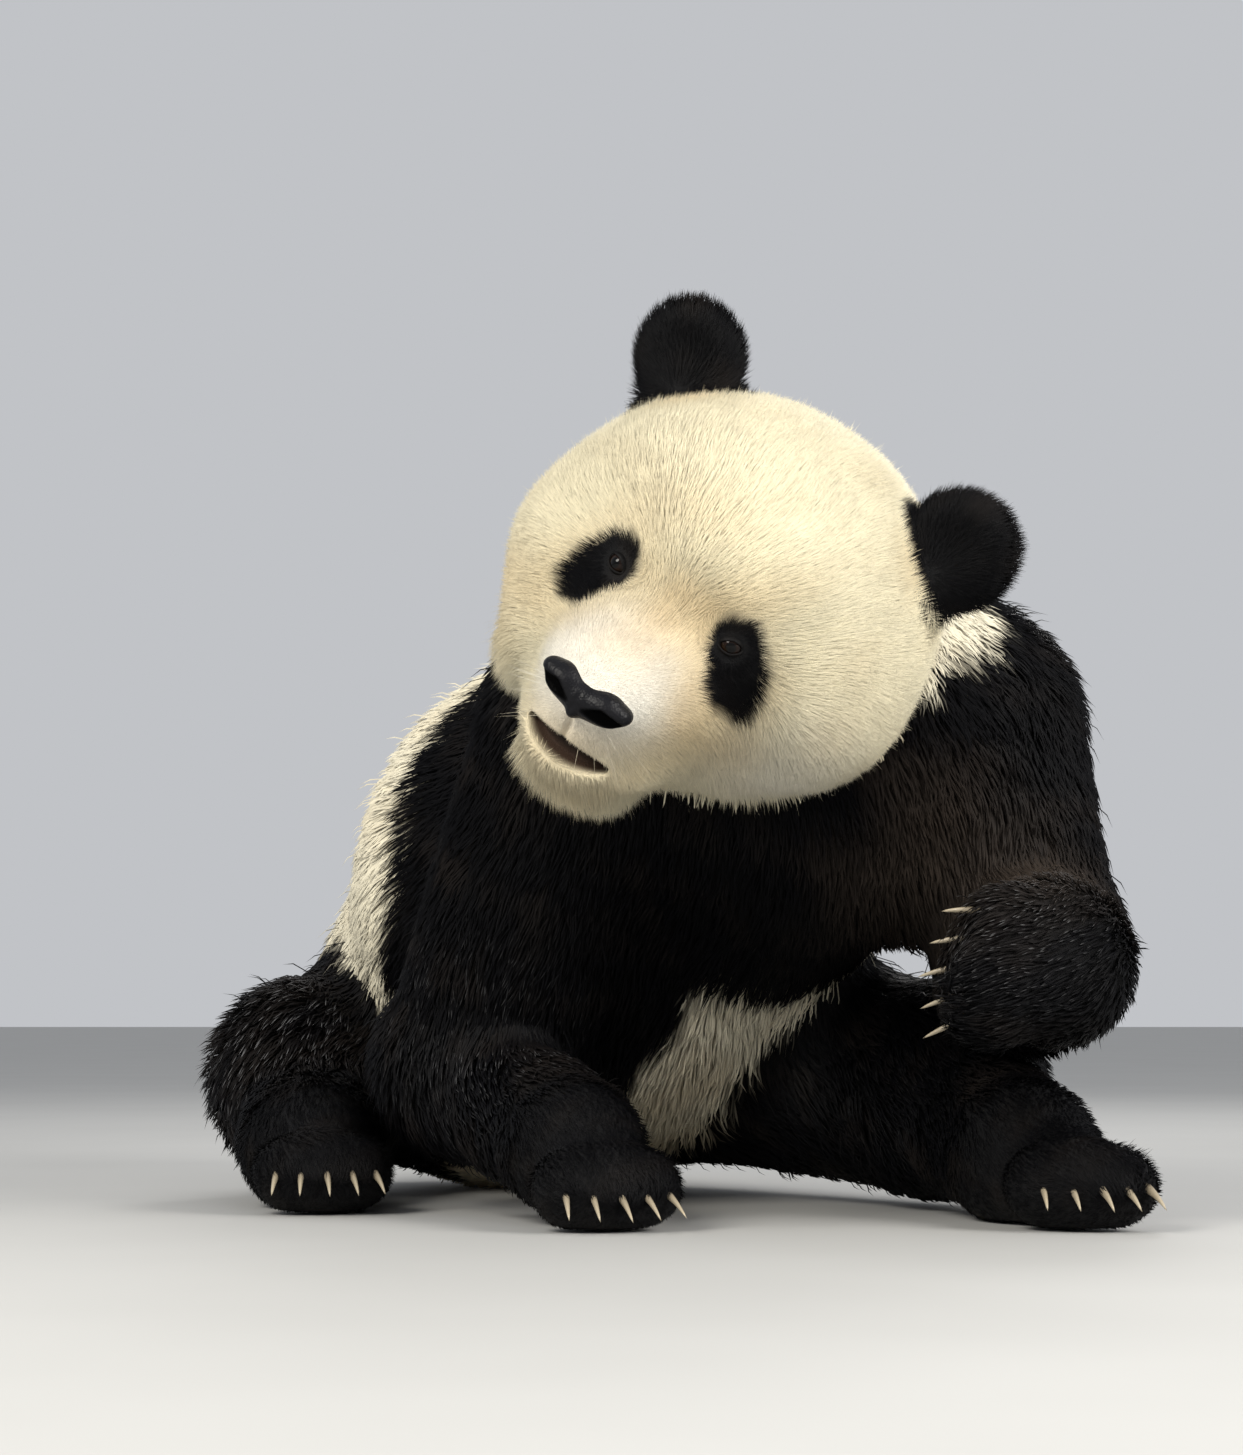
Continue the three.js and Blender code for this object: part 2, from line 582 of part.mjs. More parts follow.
// A claw: a tapered rod that curves down to its tip.
function claw({ tip, heading }, palm) {
  const [rings, sides] = [2, 4];
  const across = unit(cross(heading, palm));
  const points = [];
  const triangles = [];
  for (let n = 0; n < rings; n++) {
    const t = n / rings;
    const centre = add(add(tip, scale(heading, CLAW_ROOT + 0.85 * CLAW_LENGTH * t)),
      scale(palm, CLAW_LENGTH * (0.45 * t * t - 0.05)));
    for (let k = 0; k < sides; k++) {
      const angle = (2 * Math.PI * k) / sides;
      const r = CLAW_RADIUS * (1 - 0.55 * t);
      points.push(add(centre, add(scale(across, r * Math.cos(angle)), scale(palm, r * 1.3 * Math.sin(angle)))));
    }
  }
  points.push(add(add(tip, scale(heading, CLAW_ROOT + 0.85 * CLAW_LENGTH)),
    scale(palm, CLAW_LENGTH * 0.4)));
  for (let k = 0; k < sides; k++) {
    const next = (k + 1) % sides;
    if (k > 1) triangles.push(0, k - 1, k);
    for (let n = 0; n < rings - 1; n++) {
      const [a, b, c, d] = [n * sides + k, n * sides + next, (n + 1) * sides + k, (n + 1) * sides + next];
      triangles.push(a, c, b, b, c, d);
    }
    triangles.push((rings - 1) * sides + k, rings * sides, (rings - 1) * sides + next);
  }
  return { points, triangles };
}

// A block in the head's own frame, from its lowest to its highest corner.
function headBlock(low, high) {
  const geometry = new THREE.BoxGeometry(...sub(high, low)).translate(...mix(low, high, 0.5));
  return solidOf(geometry.applyMatrix4(headTurn).translate(...HEAD_CENTRE));
}

const meshOf = (body) => {
  const mesh = body.getMesh();
  const points = [];
  for (let n = 0; n < mesh.vertProperties.length; n += 3) points.push([...mesh.vertProperties.slice(n, n + 3)]);
  return { points, triangles: [...mesh.triVerts] };
};

// ---- The whole animal -------------------------------------------------------------------------

const parts = partBody();

for (const [name, { root, away }] of Object.entries(ears)) {
  [parts.head, parts[name]] = split(parts.head, root, away, EAR_BLOCK);
}

const PAWS = [
  { leg: 'foreleg_right', name: 'forepaw_right', palm: [0.1, -0.3, -0.95] },
  { leg: 'foreleg_left', name: 'forepaw_left', palm: [-0.1, 0.95, -0.3] },
  { leg: 'hindleg_right', name: 'foot_right', palm: [0, 0, -1] },
  { leg: 'hindleg_left', name: 'foot_left', palm: [0, 0, -1] },
];
for (const { leg, name, palm } of PAWS) {
  const { wrist, along, toes } = pawForms[name];
  [parts[leg], parts[name]] = split(parts[leg], wrist, along, PAW_BLOCK);
  const pawSpace = solid(swollen(meshOf(parts[name]), CUT));
  toes.forEach((toe, n) => {
    parts[`claw_${name}_${n + 1}`] = largest(solid(claw(toe, unit(palm))).subtract(pawSpace));
  });
}

for (const [name, side] of [['eye_right', -1], ['eye_left', 1]]) {
  const reach = faceReach(EYE_SPREAD, EYE_HEIGHT, EYE_DEPTH);
  const centre = onHead(side * EYE_SPREAD, -reach, EYE_HEIGHT);
  const mouthOfSocket = onHead(side * EYE_SPREAD, -reach - EYE_RADIUS, EYE_HEIGHT);
  parts.head = parts.head.subtract(orb(centre, EYE_RADIUS + 2 * CUT)
    .add(orb(mouthOfSocket, 1.4 * EYE_RADIUS)));
  parts[name] = orb(centre, EYE_RADIUS);
}

const nose = nosePad();
parts.nose = solid(nose);
const openHead = parts.head.subtract(solid(swollen(nose, CUT))).subtract(mouthWedge());
parts.jaw = largest(openHead.intersect(headBlock(JAW_LOW, JAW_HIGH)));
parts.head = largest(openHead.subtract(headBlock(JAW_LOW.map((v) => v - CUT), JAW_HIGH.map((v) => v + CUT))));

// ---- Finishes and the scene graph --------------------------------------------------------------

const finish = (color, roughness) => new THREE.MeshStandardMaterial({ color, roughness, metalness: 0 });
const FINISHES = [
  [/^(head|jaw|neck|trunk|tail)$/, finish(0xf2ead0, 0.9)],
  [/^(ear|foreleg|forepaw|hindleg|foot)/, finish(0x17151a, 0.9)],
  [/^claw/, finish(0x8d8474, 0.45)],
  [/^eye/, finish(0x1a100a, 0.08)],
  [/^nose/, finish(0x111114, 0.4)],
];

// The frame's origin is the middle of the animal's footprint, on the floor.
const bounds = Object.values(parts).map((part) => part.boundingBox());
const lowest = [0, 1, 2].map((i) => Math.min(...bounds.map((box) => box.min[i])));
const highest = [0, 1, 2].map((i) => Math.max(...bounds.map((box) => box.max[i])));
const origin = [(lowest[0] + highest[0]) / 2, (lowest[1] + highest[1]) / 2, lowest[2]];

const panda = new THREE.Group();
for (const [name, part] of Object.entries(parts)) {
  const { vertProperties, triVerts } = part.getMesh();
  const geometry = new THREE.BufferGeometry();
  geometry.setAttribute('position', new THREE.BufferAttribute(vertProperties, 3));
  geometry.setIndex(new THREE.BufferAttribute(triVerts, 1));
  geometry.translate(...scale(origin, -1));
  const mesh = new THREE.Mesh(geometry, FINISHES.find(([pattern]) => pattern.test(name))[1]);
  mesh.name = name;
  panda.add(mesh);
}

export default panda;
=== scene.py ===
"""Giant panda, a still life-size model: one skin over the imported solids' flesh, with a coat of fur tufts,
eyes with lids, a nose pad, lips, claws and whiskers.

Sizes are in millimetres where a name says so or where they pass through stance(), else in metres.
The panda faces -Y, so its own left is towards +X, and it rests on the floor at z = 0.
"""
import math

import bmesh
import bpy
import numpy as np
import openvdb
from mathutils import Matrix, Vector
from mathutils.kdtree import KDTree


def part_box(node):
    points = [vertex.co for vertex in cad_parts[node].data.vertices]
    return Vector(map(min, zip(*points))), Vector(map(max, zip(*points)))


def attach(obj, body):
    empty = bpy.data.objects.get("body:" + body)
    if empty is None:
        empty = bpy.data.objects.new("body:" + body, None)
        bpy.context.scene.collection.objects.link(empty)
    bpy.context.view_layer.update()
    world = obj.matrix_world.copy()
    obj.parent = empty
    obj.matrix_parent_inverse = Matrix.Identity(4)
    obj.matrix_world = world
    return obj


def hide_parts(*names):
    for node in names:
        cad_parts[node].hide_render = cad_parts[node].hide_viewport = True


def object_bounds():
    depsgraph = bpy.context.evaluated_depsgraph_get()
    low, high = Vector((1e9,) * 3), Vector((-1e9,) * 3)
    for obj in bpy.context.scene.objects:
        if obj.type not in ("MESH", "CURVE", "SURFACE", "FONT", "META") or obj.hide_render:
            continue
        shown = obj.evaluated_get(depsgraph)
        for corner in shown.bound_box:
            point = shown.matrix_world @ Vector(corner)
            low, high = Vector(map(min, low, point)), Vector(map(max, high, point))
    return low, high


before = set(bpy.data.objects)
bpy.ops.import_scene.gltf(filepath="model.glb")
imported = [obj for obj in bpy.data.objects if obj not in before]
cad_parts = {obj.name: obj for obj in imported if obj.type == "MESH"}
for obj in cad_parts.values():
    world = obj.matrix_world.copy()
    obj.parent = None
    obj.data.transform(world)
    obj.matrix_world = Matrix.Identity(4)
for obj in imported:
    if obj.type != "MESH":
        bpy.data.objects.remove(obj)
cad_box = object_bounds()

MM = 0.001
SEED = 20


# ---- Vectors and the frame

def unit(v):
    v = np.asarray(v, float)
    return v / np.linalg.norm(v)


def units(v):
    """Every row at length one."""
    return v / np.maximum(np.linalg.norm(v, axis=-1, keepdims=True), 1e-9)


def mix(a, b, t):
    return a + (b - a) * t


def smoothstep(low, high, x):
    t = np.clip((x - low) / (high - low), 0, 1)
    return t * t * (3 - 2 * t)


def turn_about(axis, degrees):
    """Rotation matrix about a unit axis."""
    a = math.radians(degrees)
    x, y, z = axis
    k = np.array([[0, -z, y], [z, 0, -x], [-y, x, 0]])
    return np.eye(3) + math.sin(a) * k + (1 - math.cos(a)) * (k @ k)


HEAD_ROLL = 33.1  # degrees, crown tipped to the panda's left
HEAD_PITCH = 24.4  # face lowered
HEAD_YAW = -11.0  # face turned to the panda's right
HEAD_TURN = (turn_about((0, 1, 0), HEAD_ROLL) @ turn_about((1, 0, 0), HEAD_PITCH)
             @ turn_about((0, 0, 1), HEAD_YAW))

# An eye's middle, in millimetres out, up and forwards from the middle of the head.
EYE_SPREAD, EYE_HEIGHT, EYE_REACH = 50, 18, 104.93
EYE_RADIUS = 10.5
HEAD_IN_STANCE = np.array([181.0, -560.0, 466.0])


def middle_of(node):
    low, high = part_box(node)
    return np.array((low + high) / 2)


# The stance's own origin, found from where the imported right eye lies.
ORIGIN = (HEAD_IN_STANCE + HEAD_TURN @ [-EYE_SPREAD, -EYE_REACH, EYE_HEIGHT]) * MM - middle_of("eye_right")


def stance(x, y, z):
    """A place in the frame, from millimetres in the stance's own frame."""
    return np.array([x, y, z], float) * MM - ORIGIN


HEAD_CENTRE = stance(*HEAD_IN_STANCE)
SIDES = (-1, 1)  # the panda's right, then its left


def on_head(x, y, z):
    """A place in the frame, from millimetres left, back and up from the middle of the head."""
    return HEAD_CENTRE + HEAD_TURN @ (np.array([x, y, z], float) * MM)


def in_head(p):
    """Points as millimetres left, back and up from the middle of the head."""
    return (p - HEAD_CENTRE) @ HEAD_TURN / MM


# ---- Distance functions

def limb(a, b, radius_a, radius_b):
    """A tapered bar with round ends, radii in millimetres."""
    ra, rb = radius_a * MM, radius_b * MM
    axis = b - a

    def distance(p):
        d = p - a
        t = np.clip(d @ axis / (axis @ axis), 0, 1)
        return np.linalg.norm(d - t[:, None] * axis, axis=1) - (ra + (rb - ra) * t)
    return distance


def muscle(centre, radii, axes=None):
    """An ellipsoid, radii in millimetres, turned by the columns of axes."""
    radii = np.array(radii, float) * MM
    axes = np.eye(3) if axes is None else axes

    def distance(p):
        local = (p - centre) @ axes
        k0 = np.linalg.norm(local / radii, axis=1)
        k1 = np.linalg.norm(local / radii ** 2, axis=1)
        return k0 * (k0 - 1) / np.maximum(k1, 1e-9)
    return distance


def flow(a, b, width):
    """Smooth union of two distances, width in millimetres."""
    width = width * MM
    h = np.maximum(width - np.abs(a - b), 0) / width
    return np.minimum(a, b) - h * h * width * 0.25


def carve(a, b, width):
    """Distance a with the inside of b taken out, the edge rounded."""
    return -flow(-a, b, width)


def form(shapes, width):
    def distance(p):
        d = shapes[0](p)
        for s in shapes[1:]:
            d = flow(d, s(p), width)
        return d
    return distance


def head_muscle(x, y, z, radii):
    return muscle(on_head(x, y, z), radii, HEAD_TURN)


# ---- The animal's forms, out to the tips of its coat

SHOULDER_RIGHT, ELBOW_RIGHT = stance(84, -378, 392), stance(-18, -305, 120)
WRIST_RIGHT, BALL_OF_RIGHT_PAW = stance(76, -480, 56), stance(98, -552, 32)
SHOULDER_LEFT, ELBOW_LEFT = stance(390, -300, 396), stance(434, -385, 213)
WRIST_LEFT, BALL_OF_LEFT_PAW = stance(430, -556, 200), stance(390, -592, 197)
HIP_RIGHT, KNEE_RIGHT = stance(-40, 90, 150), stance(-158, -115, 108)
HEEL_RIGHT, BALL_OF_RIGHT_FOOT = stance(-150, -255, 50), stance(-132, -345, 34)
HIP_LEFT, KNEE_LEFT = stance(170, 10, 150), stance(372, -262, 98)
HEEL_LEFT, BALL_OF_LEFT_FOOT = stance(425, -440, 50), stance(452, -545, 34)
PELVIS, BELLY, CHEST = stance(30, 75, 186), stance(100, -110, 268), stance(222, -318, 370)
TAIL_ROOT, TAIL_TIP = stance(26, 262, 168), stance(22, 284, 96)
NAPE = on_head(6, 60, 6)
COLLAR = mix(CHEST, SHOULDER_LEFT, 0.3)
THIGH_FRINGE = KNEE_RIGHT + np.array([-0.03, -0.045, 0.065])

EAR_SPREAD, EAR_BACK, EAR_HEIGHT = 126, 30, 136
EAR_RADIUS = 49
EAR_LEAN = 24.0  # degrees outwards
NOSE_REACH, NOSE_HEIGHT = 193, -43
MOUTH_HEIGHT, MOUTH_REACH = -97, 36
TOES = 5
CLAW_LENGTH, CLAW_RADIUS, CLAW_ROOT = 34, 4.6, 11
CLAW_RINGS, CLAW_SIDES = 9, 10

HEAD_FORM = form([
    head_muscle(0, 28, 42, (152, 138, 118)),
    head_muscle(0, -42, 66, (104, 86, 76)),
    head_muscle(-83, -4, -14, (85, 96, 80)),
    head_muscle(83, -4, -14, (85, 96, 80)),
    head_muscle(0, -20, -68, (96, 98, 72)),
    head_muscle(-72, -48, -72, (50, 62, 50)),
    head_muscle(0, -120, -45, (62, 80, 50)),
    head_muscle(0, -116, -106, (52, 62, 38)),
], 46)


def ear_form(side):
    """An ear's distance function, its middle, and its own axes: outwards, back and up."""
    lean = math.radians(EAR_LEAN) * side
    left, back, up = HEAD_TURN.T
    axes = np.stack([math.cos(lean) * left - math.sin(lean) * up, back,
                     math.cos(lean) * up + math.sin(lean) * left], axis=1)
    middle = on_head(side * EAR_SPREAD, EAR_BACK, EAR_HEIGHT)
    shape = form([muscle(middle, (EAR_RADIUS, 25, EAR_RADIUS + 2), axes),
                  muscle(middle - 0.95 * EAR_RADIUS * MM * axes[:, 2], (42, 28, 34), axes)], 20)
    return {"distance": shape, "middle": middle, "axes": axes}


EARS = {"ear_right": ear_form(-1), "ear_left": ear_form(1)}


def paw_form(wrist, ball, across, radii, toe_reach, width, pointing):
    """A paw's distance function, and the tip and heading of each toe."""
    across, pointing = unit(across), np.array(pointing)
    toes = []
    for n in range(TOES):
        place = n - (TOES - 1) / 2
        root = ball + across * place * width * 0.62 * MM
        heading = unit(pointing + across * place * 0.12)
        toes.append((root + heading * (toe_reach - abs(place) * 5) * MM, heading))
    shapes = [limb(wrist, ball, *radii),
              limb(ball - across * width * MM, ball + across * width * MM, radii[1] - 5, radii[1] - 5)]
    shapes += [limb(tip - heading * 20 * MM, tip, 20, 17) for tip, heading in toes]
    return {"distance": form(shapes, 16), "toes": toes, "wrist": wrist, "ball": ball, "across": across,
            "pointing": unit(pointing)}


PAWS = {
    "forepaw_right": paw_form(WRIST_RIGHT, BALL_OF_RIGHT_PAW, (0.95, 0.3, 0), (46, 36), 24, 26,
                              (0.3, -0.94, -0.14)),
    "forepaw_left": paw_form(WRIST_LEFT, BALL_OF_LEFT_PAW, (0.2, -0.1, 1), (56, 38), 26, 28,
                             (-0.94, -0.33, -0.08)),
    "foot_right": paw_form(HEEL_RIGHT, BALL_OF_RIGHT_FOOT, (1, 0.2, 0), (52, 38), 26, 26,
                           (0.19, -0.98, -0.05)),
    "foot_left": paw_form(HEEL_LEFT, BALL_OF_LEFT_FOOT, (0.97, -0.25, 0), (52, 38), 26, 26,
                          (0.24, -0.97, -0.05)),
}
PALMS = {"forepaw_right": (0.1, -0.3, -0.95), "forepaw_left": (-0.1, 0.95, -0.3),
         "foot_right": (0, 0, -1), "foot_left": (0, 0, -1)}

# The long bones: region, from, to, and the radii of the flesh and fur round them.
BONES = [
    ("foreleg_right", SHOULDER_RIGHT, ELBOW_RIGHT, 92, 72),
    ("foreleg_right", ELBOW_RIGHT, WRIST_RIGHT, 70, 48),
    ("foreleg_left", SHOULDER_LEFT, ELBOW_LEFT, 106, 78),
    ("foreleg_left", ELBOW_LEFT, WRIST_LEFT, 74, 60),
    ("hindleg_right", HIP_RIGHT, KNEE_RIGHT, 120, 90),
    ("hindleg_right", KNEE_RIGHT, HEEL_RIGHT, 82, 56),
    ("hindleg_left", HIP_LEFT, KNEE_LEFT, 120, 88),
    ("hindleg_left", KNEE_LEFT, HEEL_LEFT, 80, 56),
    ("tail", TAIL_ROOT, TAIL_TIP, 34, 27),
    ("neck", NAPE, COLLAR, 128, 150),
    ("trunk", CHEST, BELLY, 162, 212),
    ("trunk", BELLY, PELVIS, 212, 194),
    ("trunk", mix(SHOULDER_LEFT, SHOULDER_RIGHT, 0.3), mix(SHOULDER_LEFT, SHOULDER_RIGHT, 0.7), 118, 118),
]
LEG_PAWS = {"foreleg_right": "forepaw_right", "foreleg_left": "forepaw_left",
            "hindleg_right": "foot_right", "hindleg_left": "foot_left"}


def bones_of(region):
    return [limb(a, b, ra, rb) for name, a, b, ra, rb in BONES if name == region]


LEG_FORMS = {leg: form(bones_of(leg) + [PAWS[paw]["distance"]], 34) for leg, paw in LEG_PAWS.items()}
TRUNK_FORM = form(bones_of("trunk"), 60)
NECK_FORM = bones_of("neck")[0]
TAIL_FORM = bones_of("tail")[0]


def body_distance(p):
    """Distance to the outline of the whole animal, at the tips of its coat."""
    torso = flow(TRUNK_FORM(p), NECK_FORM(p), 90)
    head = flow(torso, HEAD_FORM(p), 40)
    for ear in EARS.values():
        head = flow(head, ear["distance"](p), 14)
    whole = np.minimum(head, flow(torso, TAIL_FORM(p), 24))
    for leg in LEG_FORMS.values():
        whole = np.minimum(whole, flow(torso, leg(p), 56))
    return whole


# ---- Regions of the coat

# For each region: the length and width of a tuft and how far apart tufts grow, in millimetres, and how
# steeply they leave the skin.
COAT = {
    "head": (18, 0.95, 1.48, 0.70),
    "neck": (38, 2.1, 4.2, 0.46),
    "trunk": (42, 2.1, 4.94, 0.46),
    "tail": (36, 2.2, 4.2, 0.45),
    "ear_right": (16, 1.0, 1.8, 0.6),
    "ear_left": (16, 1.0, 1.8, 0.6),
    "foreleg_right": (40, 2.1, 4.5, 0.42),
    "foreleg_left": (42, 2.1, 4.5, 0.42),
    "hindleg_right": (44, 2.2, 4.5, 0.45),
    "hindleg_left": (42, 2.2, 4.8, 0.42),
    "forepaw_right": (24, 1.5, 2.9, 0.40),
    "forepaw_left": (34, 1.8, 3.6, 0.42),
    "foot_right": (24, 1.5, 2.9, 0.40),
    "foot_left": (24, 1.5, 2.9, 0.40),
}
REGIONS = list(COAT)
HEAD_COLUMN = REGIONS.index("head")
COAT_TABLE = np.array([COAT[name] for name in REGIONS], float)
REGION_FORMS = {
    "head": HEAD_FORM, "neck": NECK_FORM, "trunk": TRUNK_FORM, "tail": TAIL_FORM,
    **{name: ear["distance"] for name, ear in EARS.items()},
    **{leg: form(bones_of(leg), 34) for leg in LEG_PAWS},
    **{name: paw["distance"] for name, paw in PAWS.items()},
}
REGION_BLEND = 9 * MM
PAW_CLAIM = 6 * MM  # by which a paw's fur reaches up over its leg's


def region_shares(p):
    """How much each point belongs to each region: one row a point, adding up to one."""
    d = np.stack([REGION_FORMS[name](p) for name in REGIONS], axis=1)
    for n, name in enumerate(REGIONS):
        if name in PAWS:
            d[:, n] -= PAW_CLAIM
    share = np.exp(-(d - d.min(axis=1, keepdims=True)) / REGION_BLEND)
    return share / share.sum(axis=1, keepdims=True)


# Middles of parts of the head, in millimetres left, back and up from its own middle.
SHORT_FUR, PALE_FUR, SNOUT, FACE = (0, -185, -48), (0, -180, -30), (0, -165, -66), (0, -130, -30)

# Shares of a region's fur length at these places, and how far two of them reach in millimetres.
MUZZLE_FUR, EYE_FUR, BEARD_FUR, WRIST_FUR, FLOOR_FUR = 0.36, 0.5, 1.7, 0.55, 0.4
WRIST_REACH, FRINGE_REACH = 190, 150
FLOOR_REACH = 0.07  # metres over the floor, below which it presses the coat flat
LIPS_SHORTER, FRINGE_LONGER, BEHIND_COARSER = 0.4, 0.35, 0.4
BEARD_STEEPER, FRINGE_STEEPER = 0.9, 0.15


def near(p, place, reach):
    """One at a place, falling to nought at a reach in millimetres."""
    return 1 - smoothstep(0, reach * MM, np.linalg.norm(p - place, axis=1))


def beard(h):
    """One under the chin and less along the jaw, from places in the head's own frame."""
    x, y, z = h.T
    jaw = 0.75 * smoothstep(62, 92, np.abs(x)) * smoothstep(-62, -92, z) * smoothstep(30, -20, y)
    return np.maximum(smoothstep(-103, -122, z) * smoothstep(-40, -90, y), jaw)


def from_eyes(h, forward=0):
    """Millimetres from the right and the left eye's middle, or from a place so far before it."""
    places = [[side * EYE_SPREAD, -EYE_REACH - forward, EYE_HEIGHT] for side in SIDES]
    return [np.linalg.norm(h - place, axis=1) for place in places]


def face_length(p):
    """Share of the head's full fur length: short on the muzzle and at the eyes, longer under the chin."""
    h = in_head(p)
    muzzle = np.linalg.norm((h - SHORT_FUR) / [1.0, 1.0, 0.8], axis=1)
    length = mix(MUZZLE_FUR, 1.0, smoothstep(28, 140, muzzle))
    length = mix(length, BEARD_FUR, beard(h))
    for distance in from_eyes(h, 12):
        length = length * mix(EYE_FUR, 1.0, smoothstep(8, 60, distance))
    return length


def head_share(p):
    """How much of each point is face or crown, from its place alone."""
    others = np.minimum.reduce([NECK_FORM(p), TRUNK_FORM(p), *[leg(p) for leg in LEG_FORMS.values()]])
    return 1 - smoothstep(-10 * MM, 12 * MM, HEAD_FORM(p) - others)


# From root to tip: a part of the tuft's length, and how steeply that part stands against the whole.
SHAPE_OF_TUFT = ((0.36, 1.25), (0.34, 0.62), (0.30, 0.30))


def rise_of(length, stand):
    """How high the tip of a tuft stands over the skin."""
    rise = 0
    for part, keep in SHAPE_OF_TUFT:
        slope = stand * keep
        rise = rise + length * part * slope / np.sqrt(1 + slope * slope)
    return rise


def coat_size(p):
    """Length, width and spacing of the tufts at each point, in metres, and how steeply they stand."""
    share = region_shares(p)
    length, width, spacing, stand = (share @ COAT_TABLE).T
    head = share[:, HEAD_COLUMN]
    face = mix(1, face_length(p), head)
    for paw in PAWS.values():
        length = length * mix(1.0, WRIST_FUR, near(p, paw["wrist"], WRIST_REACH))
    length = length * face * mix(FLOOR_FUR, 1.0, smoothstep(0.0, FLOOR_REACH, p[:, 2]))
    fringe = near(p, THIGH_FRINGE, FRINGE_REACH)
    h = in_head(p)
    corners = smoothstep(MOUTH_REACH + 10, MOUTH_REACH - 10, np.abs(h[:, 0]))
    lips = smoothstep(14, 3, mouth_gap(h)) * corners * head
    length = length * (1 + FRINGE_LONGER * fringe) * (1 - LIPS_SHORTER * lips)
    stand = stand + FRINGE_STEEPER * fringe + BEARD_STEEPER * beard(h) * head * (1 - lips)
    coarse = 1 + BEHIND_COARSER * smoothstep(10, 100, h[:, 1])
    width = width * mix(1, (0.6 + 0.4 * np.minimum(face, 1)) * coarse, head)
    spacing = spacing * mix(1, (0.68 + 0.32 * np.minimum(face, 1)) * coarse, head)
    return length * MM, width * MM, spacing * MM, stand


def coat_depth(p):
    """How far under the tips of the coat the skin lies."""
    length, _, _, stand = coat_size(p)
    return (0.95 - 0.5 * beard(in_head(p))) * rise_of(length, stand) + 0.5 * MM


# ---- The skin

SKIN_CELL = 6.4  # millimetres between the first points of the skin
FLOOR_SKIN = 2.5  # millimetres of flattened fur between the floor and the skin
MOUTH_OPENING, MOUTH_DEPTH = 10, 17  # half the mouth's height in the middle, and how deep it is
MOUTH_CURVE = 0.0015  # how the mouth's line rises towards its corners
PHILTRUM_DEPTH, PHILTRUM_WIDTH = 3.5, 3.0  # the groove from the nose to the mouth
UPPER_LIP, LOWER_LIP = 3.5, 3.0  # how far the lips swell

# In each round the skin is cut finer as far as this from the snout, the eyes and the lips.
FINER = ((112, 44, 42), (84, 26, 21), (0, 0, 10))


def mouth_line(h):
    """The middle of the mouth's height and half its opening, in millimetres of the head's own frame."""
    from_middle = np.abs(h[:, 0])
    line = MOUTH_HEIGHT - 0.5 + MOUTH_CURVE * from_middle ** 2
    half = MOUTH_OPENING * np.sqrt(np.clip(1 - (from_middle / MOUTH_REACH) ** 2, 0, 1))
    return line, half - 3 * (from_middle > MOUTH_REACH)


def mouth_gap(h):
    """Millimetres from the edge of the open mouth, less than zero between the lips."""
    line, half = mouth_line(h)
    return np.abs(h[:, 2] - line) - half + 60 * smoothstep(-120, -95, h[:, 1])


def open_mouth(p):
    """Swells the lips, presses the points between them in, and cuts the groove under the nose."""
    h = in_head(p)
    x, y, z = h.T
    front = smoothstep(-105, -140, y)
    upper = UPPER_LIP * np.exp(-((np.abs(x) - 22) / 20) ** 2 - ((z - MOUTH_HEIGHT - 18) / 10) ** 2)
    lower = LOWER_LIP * np.exp(-(x / 32) ** 2 - ((z - MOUTH_HEIGHT + 18) / 9) ** 2)
    groove = smoothstep(MOUTH_HEIGHT + 5, MOUTH_HEIGHT + 11, z) * smoothstep(-58, -66, z)
    groove = PHILTRUM_DEPTH * np.exp(-(x / PHILTRUM_WIDTH) ** 2) * groove
    deep = MOUTH_DEPTH * smoothstep(2.5, -6.0, mouth_gap(h)) + (groove - upper - lower) * front
    return p + deep[:, None] * MM * HEAD_TURN[:, 1]


def skin_distance(p):
    """Distance to the skin: the outline less the coat, with cupped ears, and flat on the floor."""
    d = body_distance(p) + coat_depth(p)
    for ear in EARS.values():
        cup = muscle(ear["middle"] + ear["axes"] @ np.array([0, -25, 2]) * MM, (31, 15, 33), ear["axes"])
        d = carve(d, cup(p), 8)
    return np.maximum(d, FLOOR_SKIN * MM - p[:, 2])


def gradient(distance, p, step):
    out = np.empty_like(p)
    for axis in range(3):
        shift = np.zeros(3)
        shift[axis] = step
        out[:, axis] = (distance(p + shift) - distance(p - shift)) / (2 * step)
    return out


def settle(distance, p, rounds, step, most):
    """Moves points onto the surface, by no more than a little in each round."""
    for _ in range(rounds):
        g = gradient(distance, p, step)
        move = -distance(p)[:, None] * g / np.maximum((g * g).sum(axis=1, keepdims=True), 0.05)
        size = np.linalg.norm(move, axis=1, keepdims=True)
        p = p + move * np.minimum(1, most / np.maximum(size, 1e-9))
    return p


COARSE = 4  # cells of the fine grid to one of the coarse grid


def closed_surface(distance, low, high, cell):
    """Points and four-sided faces of the surface where the distance is zero, faces outwards."""
    origin = np.array(low) - 2 * cell
    count = (np.ceil((np.array(high) - origin) / (cell * COARSE)).astype(int) + 1) * COARSE
    # A coarse look first, then the true distance only close to the surface.
    places = np.stack(np.meshgrid(*[np.arange(0, n + 1, COARSE) for n in count], indexing="ij"), axis=-1)
    rough = distance(origin + places.reshape(-1, 3) * cell).reshape(places.shape[:3])
    nearest = [np.rint(np.arange(n) / COARSE).astype(int) for n in count]
    values = rough[np.ix_(*nearest)].astype(np.float32)
    close = np.argwhere(np.abs(values) < (0.9 * COARSE + 1.2) * cell)
    for part in np.array_split(close, max(len(close) // 40000, 1)):
        values[tuple(part.T)] = distance(origin + part * cell)
    grid = openvdb.FloatGrid(1.0)
    grid.copyFromArray(values)
    points, quads = grid.convertToQuads(0.0)
    return origin + points.astype(float) * cell, quads


